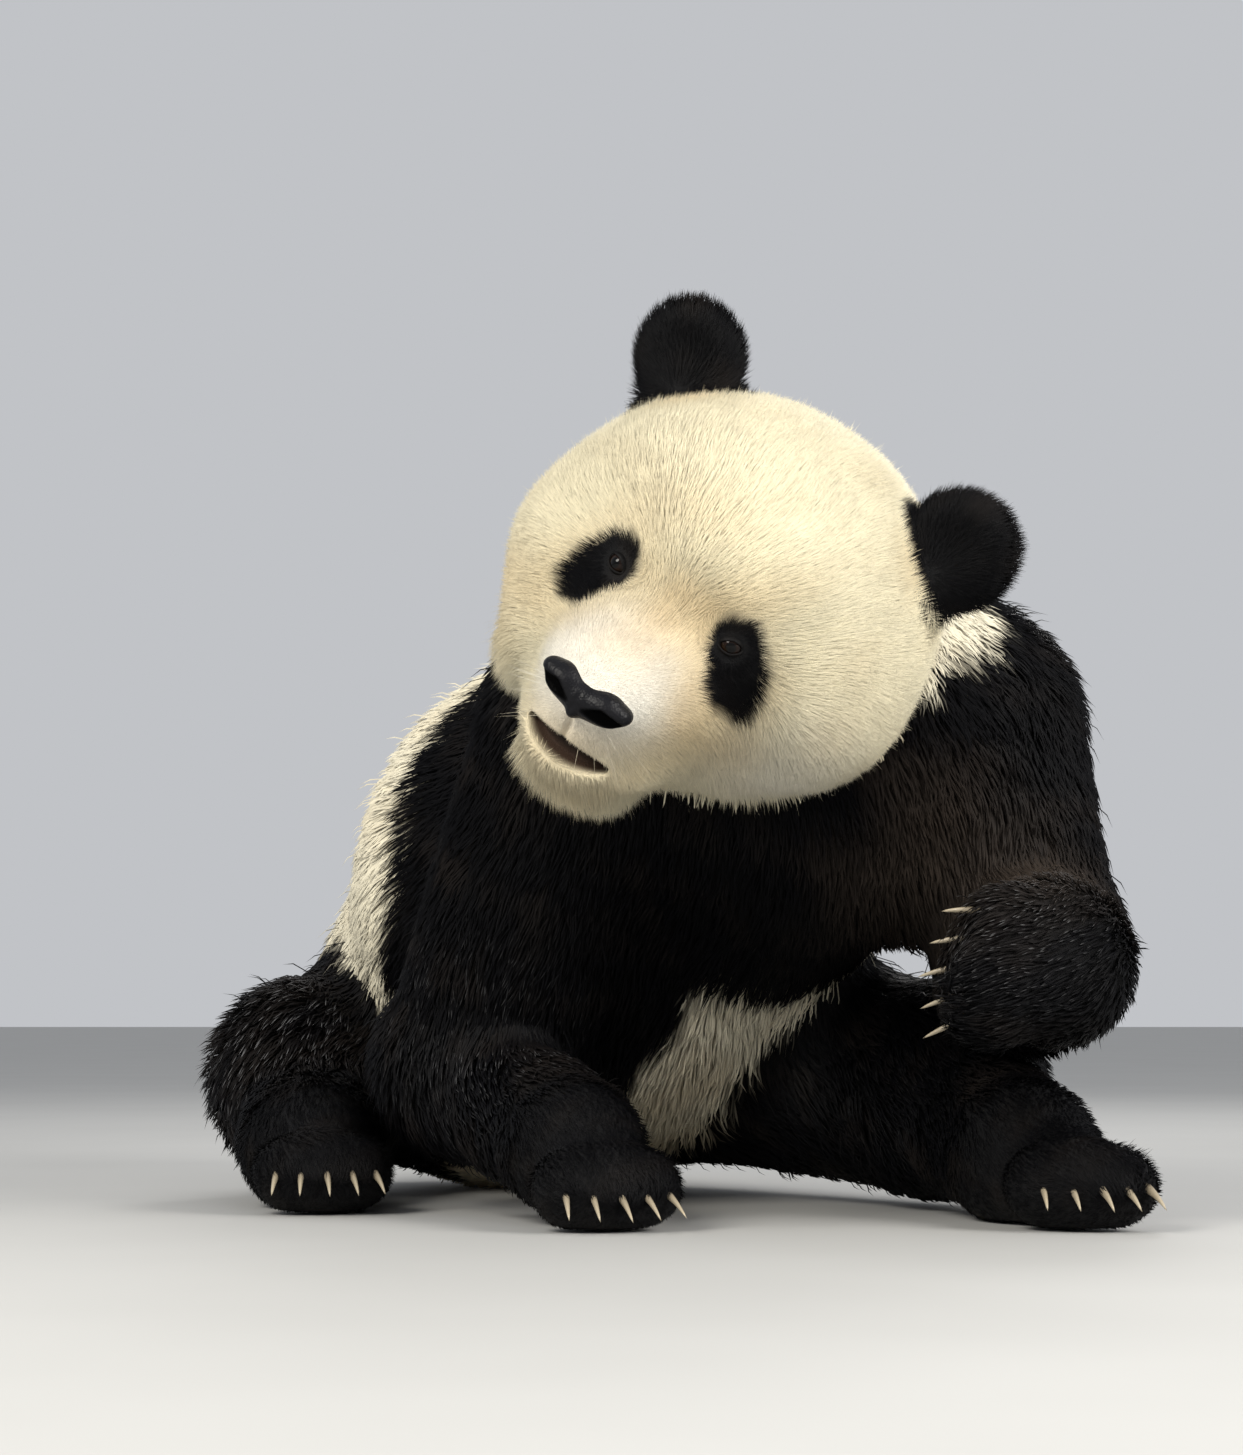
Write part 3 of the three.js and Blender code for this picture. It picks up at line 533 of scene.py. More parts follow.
def mesh_from(name, points, faces):
    mesh = bpy.data.meshes.new(name)
    faces = np.asarray(faces)
    mesh.vertices.add(len(points))
    mesh.vertices.foreach_set("co", np.asarray(points, np.float32).ravel())
    mesh.loops.add(faces.size)
    mesh.loops.foreach_set("vertex_index", faces.astype(np.int32).ravel())
    mesh.polygons.add(len(faces))
    mesh.polygons.foreach_set("loop_start", np.arange(0, faces.size, faces.shape[1], dtype=np.int32))
    mesh.update(calc_edges=True)
    mesh.validate()
    return mesh


def points_of(mesh):
    co = np.empty(len(mesh.vertices) * 3, np.float32)
    mesh.vertices.foreach_get("co", co)
    return co.reshape(-1, 3).astype(float)


def make_object(name, mesh, smooth=True):
    mesh.name = name
    if smooth:
        mesh.shade_smooth()
    obj = bpy.data.objects.new(name, mesh)
    bpy.context.scene.collection.objects.link(obj)
    return obj


def edit_mesh(mesh, change):
    """Applies a change to a mesh by way of bmesh."""
    work = bmesh.new()
    work.from_mesh(mesh)
    change(work)
    work.to_mesh(mesh)
    work.free()


def shell(name, points, faces):
    """A mesh from lists of points and faces, its faces turned outwards."""
    mesh = bpy.data.meshes.new(name)
    mesh.from_pydata([tuple(p) for p in points], [], faces)
    edit_mesh(mesh, lambda work: bmesh.ops.recalc_face_normals(work, faces=work.faces))
    return mesh


def refine(mesh, chosen):
    """Cuts every edge between the chosen points in two, which splits the faces there in four."""
    def cut(work):
        work.verts.ensure_lookup_table()
        edges = [e for e in work.edges if chosen[e.verts[0].index] and chosen[e.verts[1].index]]
        bmesh.ops.subdivide_edges(work, edges=edges, cuts=1, use_grid_fill=True)
    edit_mesh(mesh, cut)


def make_skin_mesh():
    low, high = cad_box
    points, quads = closed_surface(skin_distance, low, high, SKIN_CELL * MM)
    mesh = mesh_from("skin", points, quads)
    for reach_snout, reach_eye, reach_lip in FINER:
        h = in_head(points_of(mesh))
        chosen = np.linalg.norm(h - SNOUT, axis=1) < reach_snout
        chosen |= (mouth_gap(h) < reach_lip) & (h[:, 1] < -100)
        for distance in from_eyes(h):
            chosen |= distance < reach_eye
        refine(mesh, chosen)
    points = points_of(mesh)
    h = in_head(points)
    face = (np.linalg.norm(h - FACE, axis=1) < 135) & (h[:, 1] < -50)
    points[face] = settle(skin_distance, points[face], 3, 0.5 * MM, 1.5 * MM)
    points = open_mouth(points)
    mesh.vertices.foreach_set("co", points.astype(np.float32).ravel())
    mesh.update()
    return mesh


# ---- Markings: where the coat is black, and its tints

PATCH_MIDDLE = (61, 7)  # of an eye patch, out and up from the middle of the face
PATCH_LENGTH, PATCH_WIDTH = 36.5, 18.5
PATCH_SLANT = 23.0  # degrees, its lower end outwards
PATCH_BLUNTNESS = 2.4  # two for an ellipse, more for blunter ends

# How far the black reaches beyond these forms, in metres; where there are two, from one place to another.
FLANK_MARGIN = (0.072, 0.112)  # the right foreleg, low and at the shoulder
COLLAR_MARGIN = (-0.02, 0.045)  # the left foreleg, by the neck and away from it
FOREPAW_MARGIN, THIGH_MARGIN = 0.02, 0.016
YOKE_MIDDLE, YOKE_HALF = -0.008, 0.118  # the band over the shoulders, in metres along the spine
EAR_MARGIN = (3, 9)  # an ear, in millimetres, at its foot and higher up
BODY_EDGE, FACE_EDGE = 7, 2.5  # millimetres to each side over which black turns to cream


def spots(p, *lights):
    """Sum of soft round spots, each a strength, a place and a reach in millimetres."""
    return sum(strength * near(p, place, reach) for strength, place, reach in lights)


def wander(p, size, amount, seed):
    """A soft random field: sums of slanted waves of about the given size in millimetres."""
    rng = np.random.default_rng(seed)
    total = np.zeros(len(p))
    for _ in range(7):
        direction = unit(rng.normal(size=3)) * 2 * math.pi / (size * MM * rng.uniform(0.6, 1.7))
        total += np.sin(p @ direction + rng.uniform(0, 2 * math.pi))
    return total * amount / 2.6


def eye_patch(h):
    """Distance in millimetres to the nearer eye patch, less than zero inside."""
    slant = math.radians(PATCH_SLANT)
    x = np.abs(h[:, 0]) - PATCH_MIDDLE[0]
    z = h[:, 2] - PATCH_MIDDLE[1]
    along = -z * math.cos(slant) + x * math.sin(slant)
    across = x * math.cos(slant) + z * math.sin(slant)
    n = PATCH_BLUNTNESS
    inside = (np.abs(along / PATCH_LENGTH) ** n + np.abs(across / PATCH_WIDTH) ** n) ** (1 / n)
    d = (inside - 1) * PATCH_WIDTH * 1.15
    return np.where(h[:, 1] < -30, d, 99.0)


SPINE = unit(BELLY - CHEST)


def blackness(p):
    """Nought on the cream coat, one on the black."""
    d = {name: REGION_FORMS[name](p) for name in REGIONS}
    h = in_head(p)
    x, y, z = h.T
    flank = mix(*FLANK_MARGIN, smoothstep(0.28, 0.42, p[:, 2]))
    collar = mix(*COLLAR_MARGIN, smoothstep(0.035, 0.075, d["neck"]))
    limbs = [d["foreleg_right"] - flank, d["foreleg_left"] - collar,
             d["forepaw_right"] - FOREPAW_MARGIN, d["forepaw_left"] - FOREPAW_MARGIN]
    limbs += [d[name] - THIGH_MARGIN for name in REGIONS if name.startswith(("hind", "foot"))]
    # The yoke: a black band over the shoulders and round the chest, that runs up the throat to the jaw.
    along = (p - mix(SHOULDER_LEFT, SHOULDER_RIGHT, 0.5)) @ SPINE
    yoke = np.abs(along - YOKE_MIDDLE) - YOKE_HALF
    throat = np.maximum((z - 0.14 * y - 14) * MM, along)
    torso = np.minimum(d["trunk"], d["neck"]) < 0.05
    black = np.minimum.reduce(limbs + [np.where(torso, np.minimum(yoke, throat), 1.0)])
    black = mix(black, np.full(len(p), 0.05), smoothstep(0.35, 0.65, head_share(p)))
    black = black + wander(p, 60, 5, 5) * MM
    patch = eye_patch(h) * MM + wander(p, 12, 1.0, 6) * MM
    margin = mix(*EAR_MARGIN, smoothstep(101, 121, z)) - 14 * smoothstep(98, 84, z) * (x > 0)
    ears = np.minimum(d["ear_right"], d["ear_left"]) - margin * MM
    edge = smoothstep(BODY_EDGE * MM, -BODY_EDGE * MM, black)
    fine = smoothstep(FACE_EDGE * MM, -FACE_EDGE * MM, np.minimum(patch, ears))
    return np.maximum(edge, fine)


def pale_tips_and_glints(p):
    """Pale tips on the black coat at the right thigh's fringe and the ears' rims, and painted glints on the
    right forearm and the left paw.
    """
    forearm = mix(ELBOW_RIGHT, WRIST_RIGHT, 0.25) + np.array([0, -0.03, 0.06])
    paw = WRIST_LEFT + np.array([-0.03, -0.06, 0.03])
    # On the right forearm and the left paw these spots are painted glints; the thigh's fringe has pale tips
    # of its own.
    tips = spots(p, (0.9, THIGH_FRINGE, 130), (0.4, forearm, 150), (0.5, paw, 130))
    rims = np.zeros(len(p))
    for ear in EARS.values():
        local = (p - ear["middle"]) @ ear["axes"] / (EAR_RADIUS * MM)
        rim = smoothstep(0.72, 0.95, np.hypot(local[:, 0], local[:, 2]))
        rims = np.maximum(rims, rim * (np.linalg.norm(local, axis=1) < 1.4) * (local[:, 2] > -0.2))
    return np.clip(tips + 0.12 * rims, 0, 1)


def tan_and_painted_shade(p):
    """Tan tint of the cream coat: round the eyes, at the ears' roots, on the cheeks and low flanks, with
    painted shade, tan and darker, in the hollow between the eyes.
    """
    h = in_head(p)
    x, y, z = h.T
    head = head_share(p)
    tint = 0.35 * smoothstep(26, 2, eye_patch(h))
    # Painted shade: the hollow between the eyes darker and tan.
    tint += np.exp(-((x - 8) / 36) ** 2 - ((z - 16) / 40) ** 2) * (y < -60)
    cheeks = (0.9, on_head(66, -122, -50), 76), (0.7, on_head(-112, -75, -50), 75)
    roots = [(0.7, on_head(side * 104, -8, 118), 46) for side in SIDES]
    tint += spots(p, *cheeks, (0.8, on_head(0, -165, MOUTH_HEIGHT), 75), *roots)
    low = smoothstep(0.22, 0.02, p[:, 2]) * (1 - head)
    return np.clip(np.clip(tint, 0, 1) * head + 0.6 * low + wander(p, 70, 0.14, 8), 0, 1)


def paleness(p):
    """Cool whiteness: the muzzle, the lower cheek and the collar."""
    h = in_head(p)
    muzzle = 1 - smoothstep(30, 92, np.linalg.norm(h - PALE_FUR, axis=1))
    cheek = near(p, on_head(118, -60, -60), 90)
    return np.clip(muzzle + 0.6 * cheek + 0.35 * (1 - head_share(p)), 0, 1)


def brown_and_lit(p):
    """Brown cast of the black coat, on the inner side of the left forearm and the shins; on the left
    forearm it is also painted light, paler fur where the lamp falls.
    """
    arm = mix(ELBOW_LEFT, WRIST_LEFT, 0.2) + np.array([-0.05, -0.06, 0.05])
    return np.clip(spots(p, (1, arm, 165), (0.15, KNEE_RIGHT, 160)) + wander(p, 45, 0.07, 9), 0, 1)


# ---- The lie of the coat

GRAVITY = np.array([0.0, 0.0, -1.0])
SAGGING = ("trunk", "neck", "hindleg_right", "hindleg_left")
SAG, SAG_ELSEWHERE = 0.4, 0.12  # how far the coat hangs down, against the way along its bone
BEARD_SAG = 1.6
# How deep under its form a bone or paw gives its lie in full, and over what distance that fades, in metres.
BONE_DEPTH, BONE_BLEND, PAW_DEPTH, PAW_BLEND = 0.03, 0.022, 0.02, 0.012


def lie_of_coat(p):
    """The way the fur runs at each point: back from the nose, down the spine and down the legs."""
    total = np.zeros_like(p)
    weights = np.zeros(len(p))
    for region, a, b, ra, rb in BONES:
        if region == "trunk" and np.linalg.norm(b - a) < 0.25:
            continue  # the bar across the shoulders, where the fur follows the spine
        w = np.exp(-np.maximum(limb(a, b, ra, rb)(p) + BONE_DEPTH, 0) / BONE_BLEND)
        sag = SAG if region in SAGGING else SAG_ELSEWHERE
        total += w[:, None] * (unit(b - a) + sag * GRAVITY)
        weights += w
    for paw in PAWS.values():
        w = np.exp(-np.maximum(paw["distance"](p) + PAW_DEPTH, 0) / PAW_BLEND)
        total += w[:, None] * (unit(paw["ball"] - paw["wrist"]) + 0.5 * paw["pointing"])
        weights += w
    lie = total / np.maximum(weights, 1e-9)[:, None]
    lie = lie + 1.2 * near(p, WRIST_LEFT, 120)[:, None] * np.array([-0.55, 0.0, -0.8])
    h = in_head(p)
    from_nose = units(h - [0, -NOSE_REACH + 6, NOSE_HEIGHT - 8])
    cheek = smoothstep(30, 100, np.abs(h[:, 0])) * smoothstep(60, -40, h[:, 2])
    on_face = units(from_nose + np.array([0, 0.35, 0]) + cheek[:, None] * np.array([0, 0.1, -0.75]))
    face = on_face @ HEAD_TURN.T + BEARD_SAG * beard(h)[:, None] * GRAVITY
    lie = mix(units(lie), face, head_share(p)[:, None])
    for side in SIDES:
        from_eye = p - on_head(side * EYE_SPREAD, -EYE_REACH, EYE_HEIGHT)
        w = smoothstep(34 * MM, 12 * MM, np.linalg.norm(from_eye, axis=1))[:, None]
        lie = lie + 1.6 * w * units(from_eye)
    for ear in EARS.values():
        w = smoothstep(6 * MM, -4 * MM, ear["distance"](p) - HEAD_FORM(p))[:, None]
        foot = ear["middle"] - 0.7 * EAR_RADIUS * MM * ear["axes"][:, 2]
        lie = mix(lie, units(p - foot), w)
    return lie + np.stack([wander(p, 90, 0.16, 30 + n) for n in range(3)], axis=1)


# ---- Tufts of fur

def triangles_of(mesh):
    """Corner points, corner normals and area of every triangle of a mesh."""
    mesh.calc_loop_triangles()
    tri = np.empty(len(mesh.loop_triangles) * 3, np.int32)
    mesh.loop_triangles.foreach_get("vertices", tri)
    tri = tri.reshape(-1, 3)
    points = points_of(mesh)
    normals = np.empty(len(points) * 3, np.float32)
    mesh.vertex_normals.foreach_get("vector", normals)
    normals = normals.reshape(-1, 3).astype(float)
    corners = points[tri]
    a, b = corners[:, 1] - corners[:, 0], corners[:, 2] - corners[:, 0]
    area = np.linalg.norm(np.cross(a, b), axis=1) / 2
    return corners, normals[tri], area


def bare(p):
    """True where no fur grows: the lips' inner edges, the nose and the eyes."""
    h = in_head(p)
    mouth = (mouth_gap(h) < 0.0) & (h[:, 1] < -96)
    nose = NOSE_FORM(p) < 1.0 * MM
    return mouth | nose | (np.minimum(*from_eyes(h)) < EYE_RADIUS + 1.2)


TRIES = 3.2  # roots thrown on the skin for each that is wanted
CELL_SHARE = 1.22  # of the spacing, for the cell that keeps one root
CELL_SIZES = 3  # for each doubling of the spacing


def scatter_roots(mesh, rng):
    """Roots of the tufts, at the spacing of each place of the skin, with the skin's normals."""
    corners, normals, area = triangles_of(mesh)
    centre = corners.mean(axis=1)
    spacing = coat_size(centre)[2]
    wanted = TRIES * area / spacing ** 2
    number = np.floor(wanted + rng.random(len(wanted))).astype(int)
    face = np.repeat(np.arange(len(number)), number)
    u, v = rng.random((2, len(face)))
    flip = u + v > 1
    u[flip], v[flip] = 1 - u[flip], 1 - v[flip]
    w = np.stack([1 - u - v, u, v], axis=1)
    p = np.einsum("ij,ijk->ik", w, corners[face])
    n = units(np.einsum("ij,ijk->ik", w, normals[face]))
    spacing = coat_size(p)[2] * CELL_SHARE
    level = np.floor(CELL_SIZES * np.log2(spacing / MM) + rng.random(len(p)))
    cell = MM * 2 ** (level / CELL_SIZES)
    key = np.concatenate([np.floor(p / cell[:, None]), level[:, None]], axis=1).astype(np.int64)
    _, first = np.unique(key, axis=0, return_index=True)
    p, n = p[first], n[first]
    keep = ~bare(p)
    return p[keep], n[keep]


def gather(roots, centres):
    """For each root, the nearest of the chosen centres."""
    tree = KDTree(len(centres))
    for i, c in enumerate(centres):
        tree.insert(Vector(roots[c]), i)
    tree.balance()
    return np.array([centres[tree.find(Vector(p))[1]] for p in roots])


# Each tuft's own length, steepness and width are between these shares of its place's.
UNEVEN_LENGTH, UNEVEN_STAND, UNEVEN_WIDTH = (0.75, 1.15), (0.8, 1.2), (0.75, 1.25)
UNEVEN_HEADING = 0.13
STRAYS = 0.02  # share of the tufts that stand out from the rest
STRAY_STEEPER, STRAY_THINNER = 2.2, 0.7
LOCK = 8  # tufts that lean together
LOCKED, FULLY_LOCKED = 11 * MM, 32 * MM  # lengths from which they do so
LOCK_PULL = (0.3, 0.7)  # how far they lean towards the lock's middle tuft
LOCK_BEND = np.array([0, 0.35, 0.85])  # the share of that at the root, halfway and at the tip
WHISKER_PAD, PAD_RADIUS = (26, 178, 74), 20  # to each side, forwards and down from the head's middle
WHISKERS = 0.006  # share of the pads' tufts that are whiskers
WHISKER_LENGTH, WHISKER_WIDTH, WHISKER_STAND = 42 * MM, 0.45 * MM, 1.1
ROOT_DEPTH = 1.2 * MM  # how far a tuft starts under the skin


def tuft_lines(p, n, rng):
    """The line of every tuft as three points from root to tip, and its width."""
    length, width, _, stand = coat_size(p)
    lie = lie_of_coat(p)
    lie = units(lie - (lie * n).sum(axis=1, keepdims=True) * n)
    lie = units(lie + rng.normal(0, UNEVEN_HEADING, len(p))[:, None] * np.cross(n, lie))
    length = length * rng.uniform(*UNEVEN_LENGTH, len(p))
    stray = rng.random(len(p)) < STRAYS
    stand = stand * rng.uniform(*UNEVEN_STAND, len(p)) * np.where(stray, STRAY_STEEPER, 1)
    pads = np.linalg.norm(np.abs(in_head(p)) - WHISKER_PAD, axis=1) < PAD_RADIUS
    whisker = pads & (rng.random(len(p)) < WHISKERS)
    length = np.where(whisker, WHISKER_LENGTH, length)
    stand = np.where(whisker, WHISKER_STAND, stand)
    width = np.where(whisker, WHISKER_WIDTH, width)
    line = [p - n * ROOT_DEPTH]
    for part, keep in SHAPE_OF_TUFT:
        line.append(line[-1] + units(lie + (stand * keep)[:, None] * n) * (length * part)[:, None])
    line = np.stack(line, axis=1)[:, [0, 2, 3]]
    # Neighbours lean together into locks, where the coat is long.
    long = np.flatnonzero((length > LOCKED) & ~stray & ~whisker)
    centres = rng.choice(len(long), max(len(long) // LOCK, 1), replace=False)
    owner = long[gather(p[long], centres)]
    close = np.linalg.norm(p[owner] - p[long], axis=1) < 0.5 * length[long]
    pull = rng.uniform(*LOCK_PULL, len(long)) * close * smoothstep(LOCKED, FULLY_LOCKED, length[long])
    lean = pull[:, None, None] * LOCK_BEND[None, :, None]
    line[long] = line[long] + lean * (line[owner] - line[long])
    line[:, :, 2] = np.maximum(line[:, :, 2], 0.6 * MM)
    return line, width * rng.uniform(*UNEVEN_WIDTH, len(p)) * np.where(stray, STRAY_THINNER, 1)


CHART_EDGE = 0.004  # kept free round the unwrap


def chart(p, region):
    """Where each root lies on an unwrap of its region's skin."""
    if region == "head" or region in EARS:
        # Seen from the front and drawn out to the back, as a map of the globe from one pole.
        centre, axes = HEAD_CENTRE, HEAD_TURN
        if region in EARS:
            centre, axes = EARS[region]["middle"], EARS[region]["axes"]
        d = units((p - centre) @ axes)
        angle = np.arctan2(d[:, 2], d[:, 0])
        spread = 0.49 * np.sqrt(np.clip((1 + d[:, 1]) / 2, 0, 1))
        uv = np.stack([0.5 + spread * np.cos(angle), 0.5 + spread * np.sin(angle)], axis=1)
    else:
        # Round the region's own axis, and along it.
        if region in PAWS:
            a, b = PAWS[region]["wrist"], PAWS[region]["toes"][2][0]
        else:
            bones = [bone for bone in BONES if bone[0] == region][:2]
            a, b = bones[0][1], bones[-1][2]
        axis = unit(b - a)
        across = unit(np.cross(axis, (0.3, 0.2, 1.0)))
        d = p - a
        angle = np.arctan2(d @ np.cross(axis, across), d @ across)
        along = d @ axis
        low, high = along.min(), along.max()
        uv = np.stack([0.5 + angle / (2 * math.pi), (along - low) / max(high - low, 1e-6)], axis=1)
    return CHART_EDGE + (1 - 2 * CHART_EDGE) * np.clip(uv, 0, 1)


PATCH = 0.003  # of the unwrap, for one tuft
TUFT_SIDES = 3
TAPER = {1: (1.0,), 2: (0.85, 0.8)}  # width of the rings of a tuft with one or two of them
FLATNESS = 0.7  # a tuft's height against its width
SOFTNESS = 0.62  # how far the tufts take the skin's own shading


def tuft_points(line, width, skin_normal):
    """Corners of every tuft, the way each faces, and how far each is along its tuft and round it."""
    count, places = line.shape[:2]
    rings = places - 1
    per = rings * TUFT_SIDES + 1
    direction = units(np.gradient(line, axis=1))
    points, outward = np.empty((2, count, per, 3))
    along, across = np.empty((2, count, per))
    for r in range(rings):
        side = units(np.cross(direction[:, r], skin_normal))
        top = np.cross(side, direction[:, r])
        for k in range(TUFT_SIDES):
            angle = 2 * math.pi * k / TUFT_SIDES + math.pi / 2
            v = r * TUFT_SIDES + k
            outward[:, v] = math.cos(angle) * side + math.sin(angle) * top * FLATNESS
            points[:, v] = line[:, r] + outward[:, v] * (width * 0.5 * TAPER[rings][r])[:, None]
            along[:, v] = r / rings
            across[:, v] = k / TUFT_SIDES
    points[:, -1] = line[:, -1]
    outward[:, -1] = direction[:, -1]
    along[:, -1], across[:, -1] = 1, 0.5
    points[:, :, 2] = np.maximum(points[:, :, 2], 0.3 * MM)
    return points, outward, along, across


def tuft_faces(rings):
    """Triangles of one tuft: its root, its sides and its tip."""
    faces = [(0, 1, 2)]
    for k in range(TUFT_SIDES):
        m = (k + 1) % TUFT_SIDES
        for low in range(0, (rings - 1) * TUFT_SIDES, TUFT_SIDES):
            high = low + TUFT_SIDES
            faces += [(low + k, high + m, low + m), (low + k, high + k, high + m)]
        last = (rings - 1) * TUFT_SIDES
        faces.append((last + k, last + TUFT_SIDES, last + m))
    return np.array(faces)


def put_unwrap(mesh, name, uv, corners):
    layer = mesh.uv_layers.new(name=name)
    layer.data.foreach_set("uv", uv.reshape(-1, 2)[corners].astype(np.float32).ravel())


def tuft_mesh(name, line, width, skin_normal, uv, attributes):
    """One closed three-sided spike along every line, joined in a mesh, with its unwraps and attributes."""
    points, outward, along, across = tuft_points(line, width, skin_normal)
    count, per = along.shape
    faces = tuft_faces(line.shape[1] - 1)[None] + per * np.arange(count)[:, None, None]
    faces = faces.reshape(-1, 3)
    mesh = mesh_from(name, points.reshape(-1, 3), faces)
    spread = np.stack([(across - 0.5) * PATCH * (1 - 0.6 * along), (along - 0.5) * PATCH], axis=2)
    put_unwrap(mesh, "OFBake", uv[:, None, :] + spread, faces.ravel())
    strands = np.stack([across + np.arange(count)[:, None] * 0.37, along], axis=2)
    put_unwrap(mesh, "Strands", strands, faces.ravel())
    mesh.uv_layers.active_index = 0
    mesh.uv_layers["OFBake"].active_render = True
    for key, values in attributes.items():
        put_attribute(mesh, key, np.repeat(values, per))
    put_attribute(mesh, "along", along.ravel())
    shading = units(SOFTNESS * skin_normal[:, None, :] + (1 - SOFTNESS) * units(outward))
    soft = mesh.attributes.new("custom_normal", "FLOAT_VECTOR", "POINT")
    soft.data.foreach_set("vector", shading.astype(np.float32).ravel())
    return mesh


def put_attribute(mesh, name, values):
    layer = mesh.attributes.new(name, "FLOAT", "POINT")
    layer.data.foreach_set("value", np.asarray(values, np.float32))


def pelt_attributes(p):
    fields = {"black": blackness, "tan_and_shade": tan_and_painted_shade, "pale": paleness, "brown_and_lit": brown_and_lit, "pale_tips_and_glints": pale_tips_and_glints}
    return {name: field(p) for name, field in fields.items()}


# ---- Materials

CREAM, WHITE, TAN = (0.91, 0.83, 0.60), (0.92, 0.88, 0.78), (0.70, 0.50, 0.25)
# The second colour is the black coat's brown cast, made pale enough to be painted light on the lit left
# forearm.
JET, BROWN_AND_LIT = (0.0018, 0.0018, 0.0026), (0.060, 0.046, 0.036)
PALE_TIP_AND_GLINT = (0.34, 0.34, 0.35)  # the pale tips and the painted glints on the black coat
# Between the lips: painted shade under the upper lip, then the lips' own brown.
MOUTH_SHADE, LIP_BROWN = (0.006, 0.004, 0.003), (0.050, 0.028, 0.018)
# The third colour is painted shade inside the nostrils.
NOSE_DARK, NOSE_LIGHT, NOSTRIL_SHADE_BLACK = (0.002, 0.002, 0.003), (0.008, 0.008, 0.010), (0.001, 0.001, 0.001)
LID_DARK, LID_LIGHT = (0.002, 0.002, 0.002), (0.007, 0.006, 0.006)
CLAW_ROOT_COLOUR, CLAW_TIP_COLOUR, CLAW_GRAIN = (0.10, 0.085, 0.065), (0.42, 0.37, 0.28), (0.55, 0.5, 0.42)
FLOOR_DARK, FLOOR_LIGHT = (0.42, 0.42, 0.41), (0.47, 0.47, 0.46)
# From the pupil's middle to the edge of the eyeball's front half.
EYE_COLOURS = ((0.0, (0.001, 0.001, 0.001)), (0.22, (0.001, 0.001, 0.001)), (0.27, (0.010, 0.004, 0.002)),
               (0.46, (0.005, 0.002, 0.001)), (0.52, (0.002, 0.001, 0.001)), (1.0, (0.01, 0.006, 0.005)))


def new_material(name, roughness, specular=0.5):
    material = bpy.data.materials.new(name)
    material.use_nodes = True
    tree = material.node_tree
    tree.nodes.clear()
    out = tree.nodes.new("ShaderNodeOutputMaterial")
    shader = tree.nodes.new("ShaderNodeBsdfPrincipled")
    shader.inputs["Roughness"].default_value = roughness
    shader.inputs["Specular IOR Level"].default_value = specular
    tree.links.new(shader.outputs["BSDF"], out.inputs["Surface"])
    return material, tree, shader


def feed(tree, socket, value):
    """Sets a socket to a value or a colour, or joins it to another node's output."""
    if isinstance(value, bpy.types.NodeSocket):
        tree.links.new(value, socket)
    elif socket.type == "RGBA":
        socket.default_value = (*value, 1)
    else:
        socket.default_value = value


def add_node(tree, kind, *inputs, settings=(), **named):
    """A node with its settings, and its first inputs and some named ones fed."""
    node = tree.nodes.new(kind)
    for key, value in settings:
        setattr(node, key, value)
    for socket, value in zip(node.inputs, inputs):
        feed(tree, socket, value)
    for key, value in named.items():
        feed(tree, node.inputs[key], value)
    return node


def attribute(tree, name):
    return add_node(tree, "ShaderNodeAttribute", settings=[("attribute_name", name)]).outputs["Fac"]


def product(tree, *values):
    """The values multiplied by each other."""
    result = values[0]
    for value in values[1:]:
        node = add_node(tree, "ShaderNodeMath", result, value, settings=[("operation", "MULTIPLY")])
        result = node.outputs[0]
    return result


def remap(tree, value, low, high, new_low, new_high):
    """A value from one range laid on another, and held inside it."""
    return add_node(tree, "ShaderNodeMapRange", value, low, high, new_low, new_high).outputs[0]


def blend_colour(tree, share, a, b, blend="MIX"):
    node = add_node(tree, "ShaderNodeMix", share, settings=[("data_type", "RGBA"), ("blend_type", blend)])
    feed(tree, node.inputs[6], a)
    feed(tree, node.inputs[7], b)
    return node.outputs[2]


def object_noise(tree, scale, detail=2.0):
    coords = add_node(tree, "ShaderNodeTexCoord").outputs["Object"]
    return add_node(tree, "ShaderNodeTexNoise", Vector=coords, Scale=scale, Detail=detail).outputs["Fac"]


def raise_surface(tree, shader, height, distance, strength=1.0):
    bump = add_node(tree, "ShaderNodeBump", Height=height, Distance=distance, Strength=strength)
    feed(tree, shader.inputs["Normal"], bump.outputs[0])


def pelt_colour(tree, root_shade):
    """Cream or black by the markings, with tints, among them painted shade between the eyes and painted
    light on the left forearm, and painted shade at the roots.
    """
    cream = blend_colour(tree, attribute(tree, "pale"), CREAM, WHITE)
    # Tan tint, and painted shade between the eyes.
    cream = blend_colour(tree, product(tree, attribute(tree, "tan_and_shade"), 0.55), cream, TAN)
    mottle = add_node(tree, "ShaderNodeMath", object_noise(tree, 60, 3), 0.3, 0.83,
                      settings=[("operation", "MULTIPLY_ADD")]).outputs[0]
    cream = blend_colour(tree, 1.0, cream, mottle, "MULTIPLY")
    # Painted light and a brown cast: the black coat paler brown where it is lit on the left forearm.
    black = blend_colour(tree, attribute(tree, "brown_and_lit"), JET, BROWN_AND_LIT)
    colour = blend_colour(tree, attribute(tree, "black"), cream, black)
    # Painted shade: darker towards the roots of the coat.
    return blend_colour(tree, 1.0, colour, root_shade, "MULTIPLY")


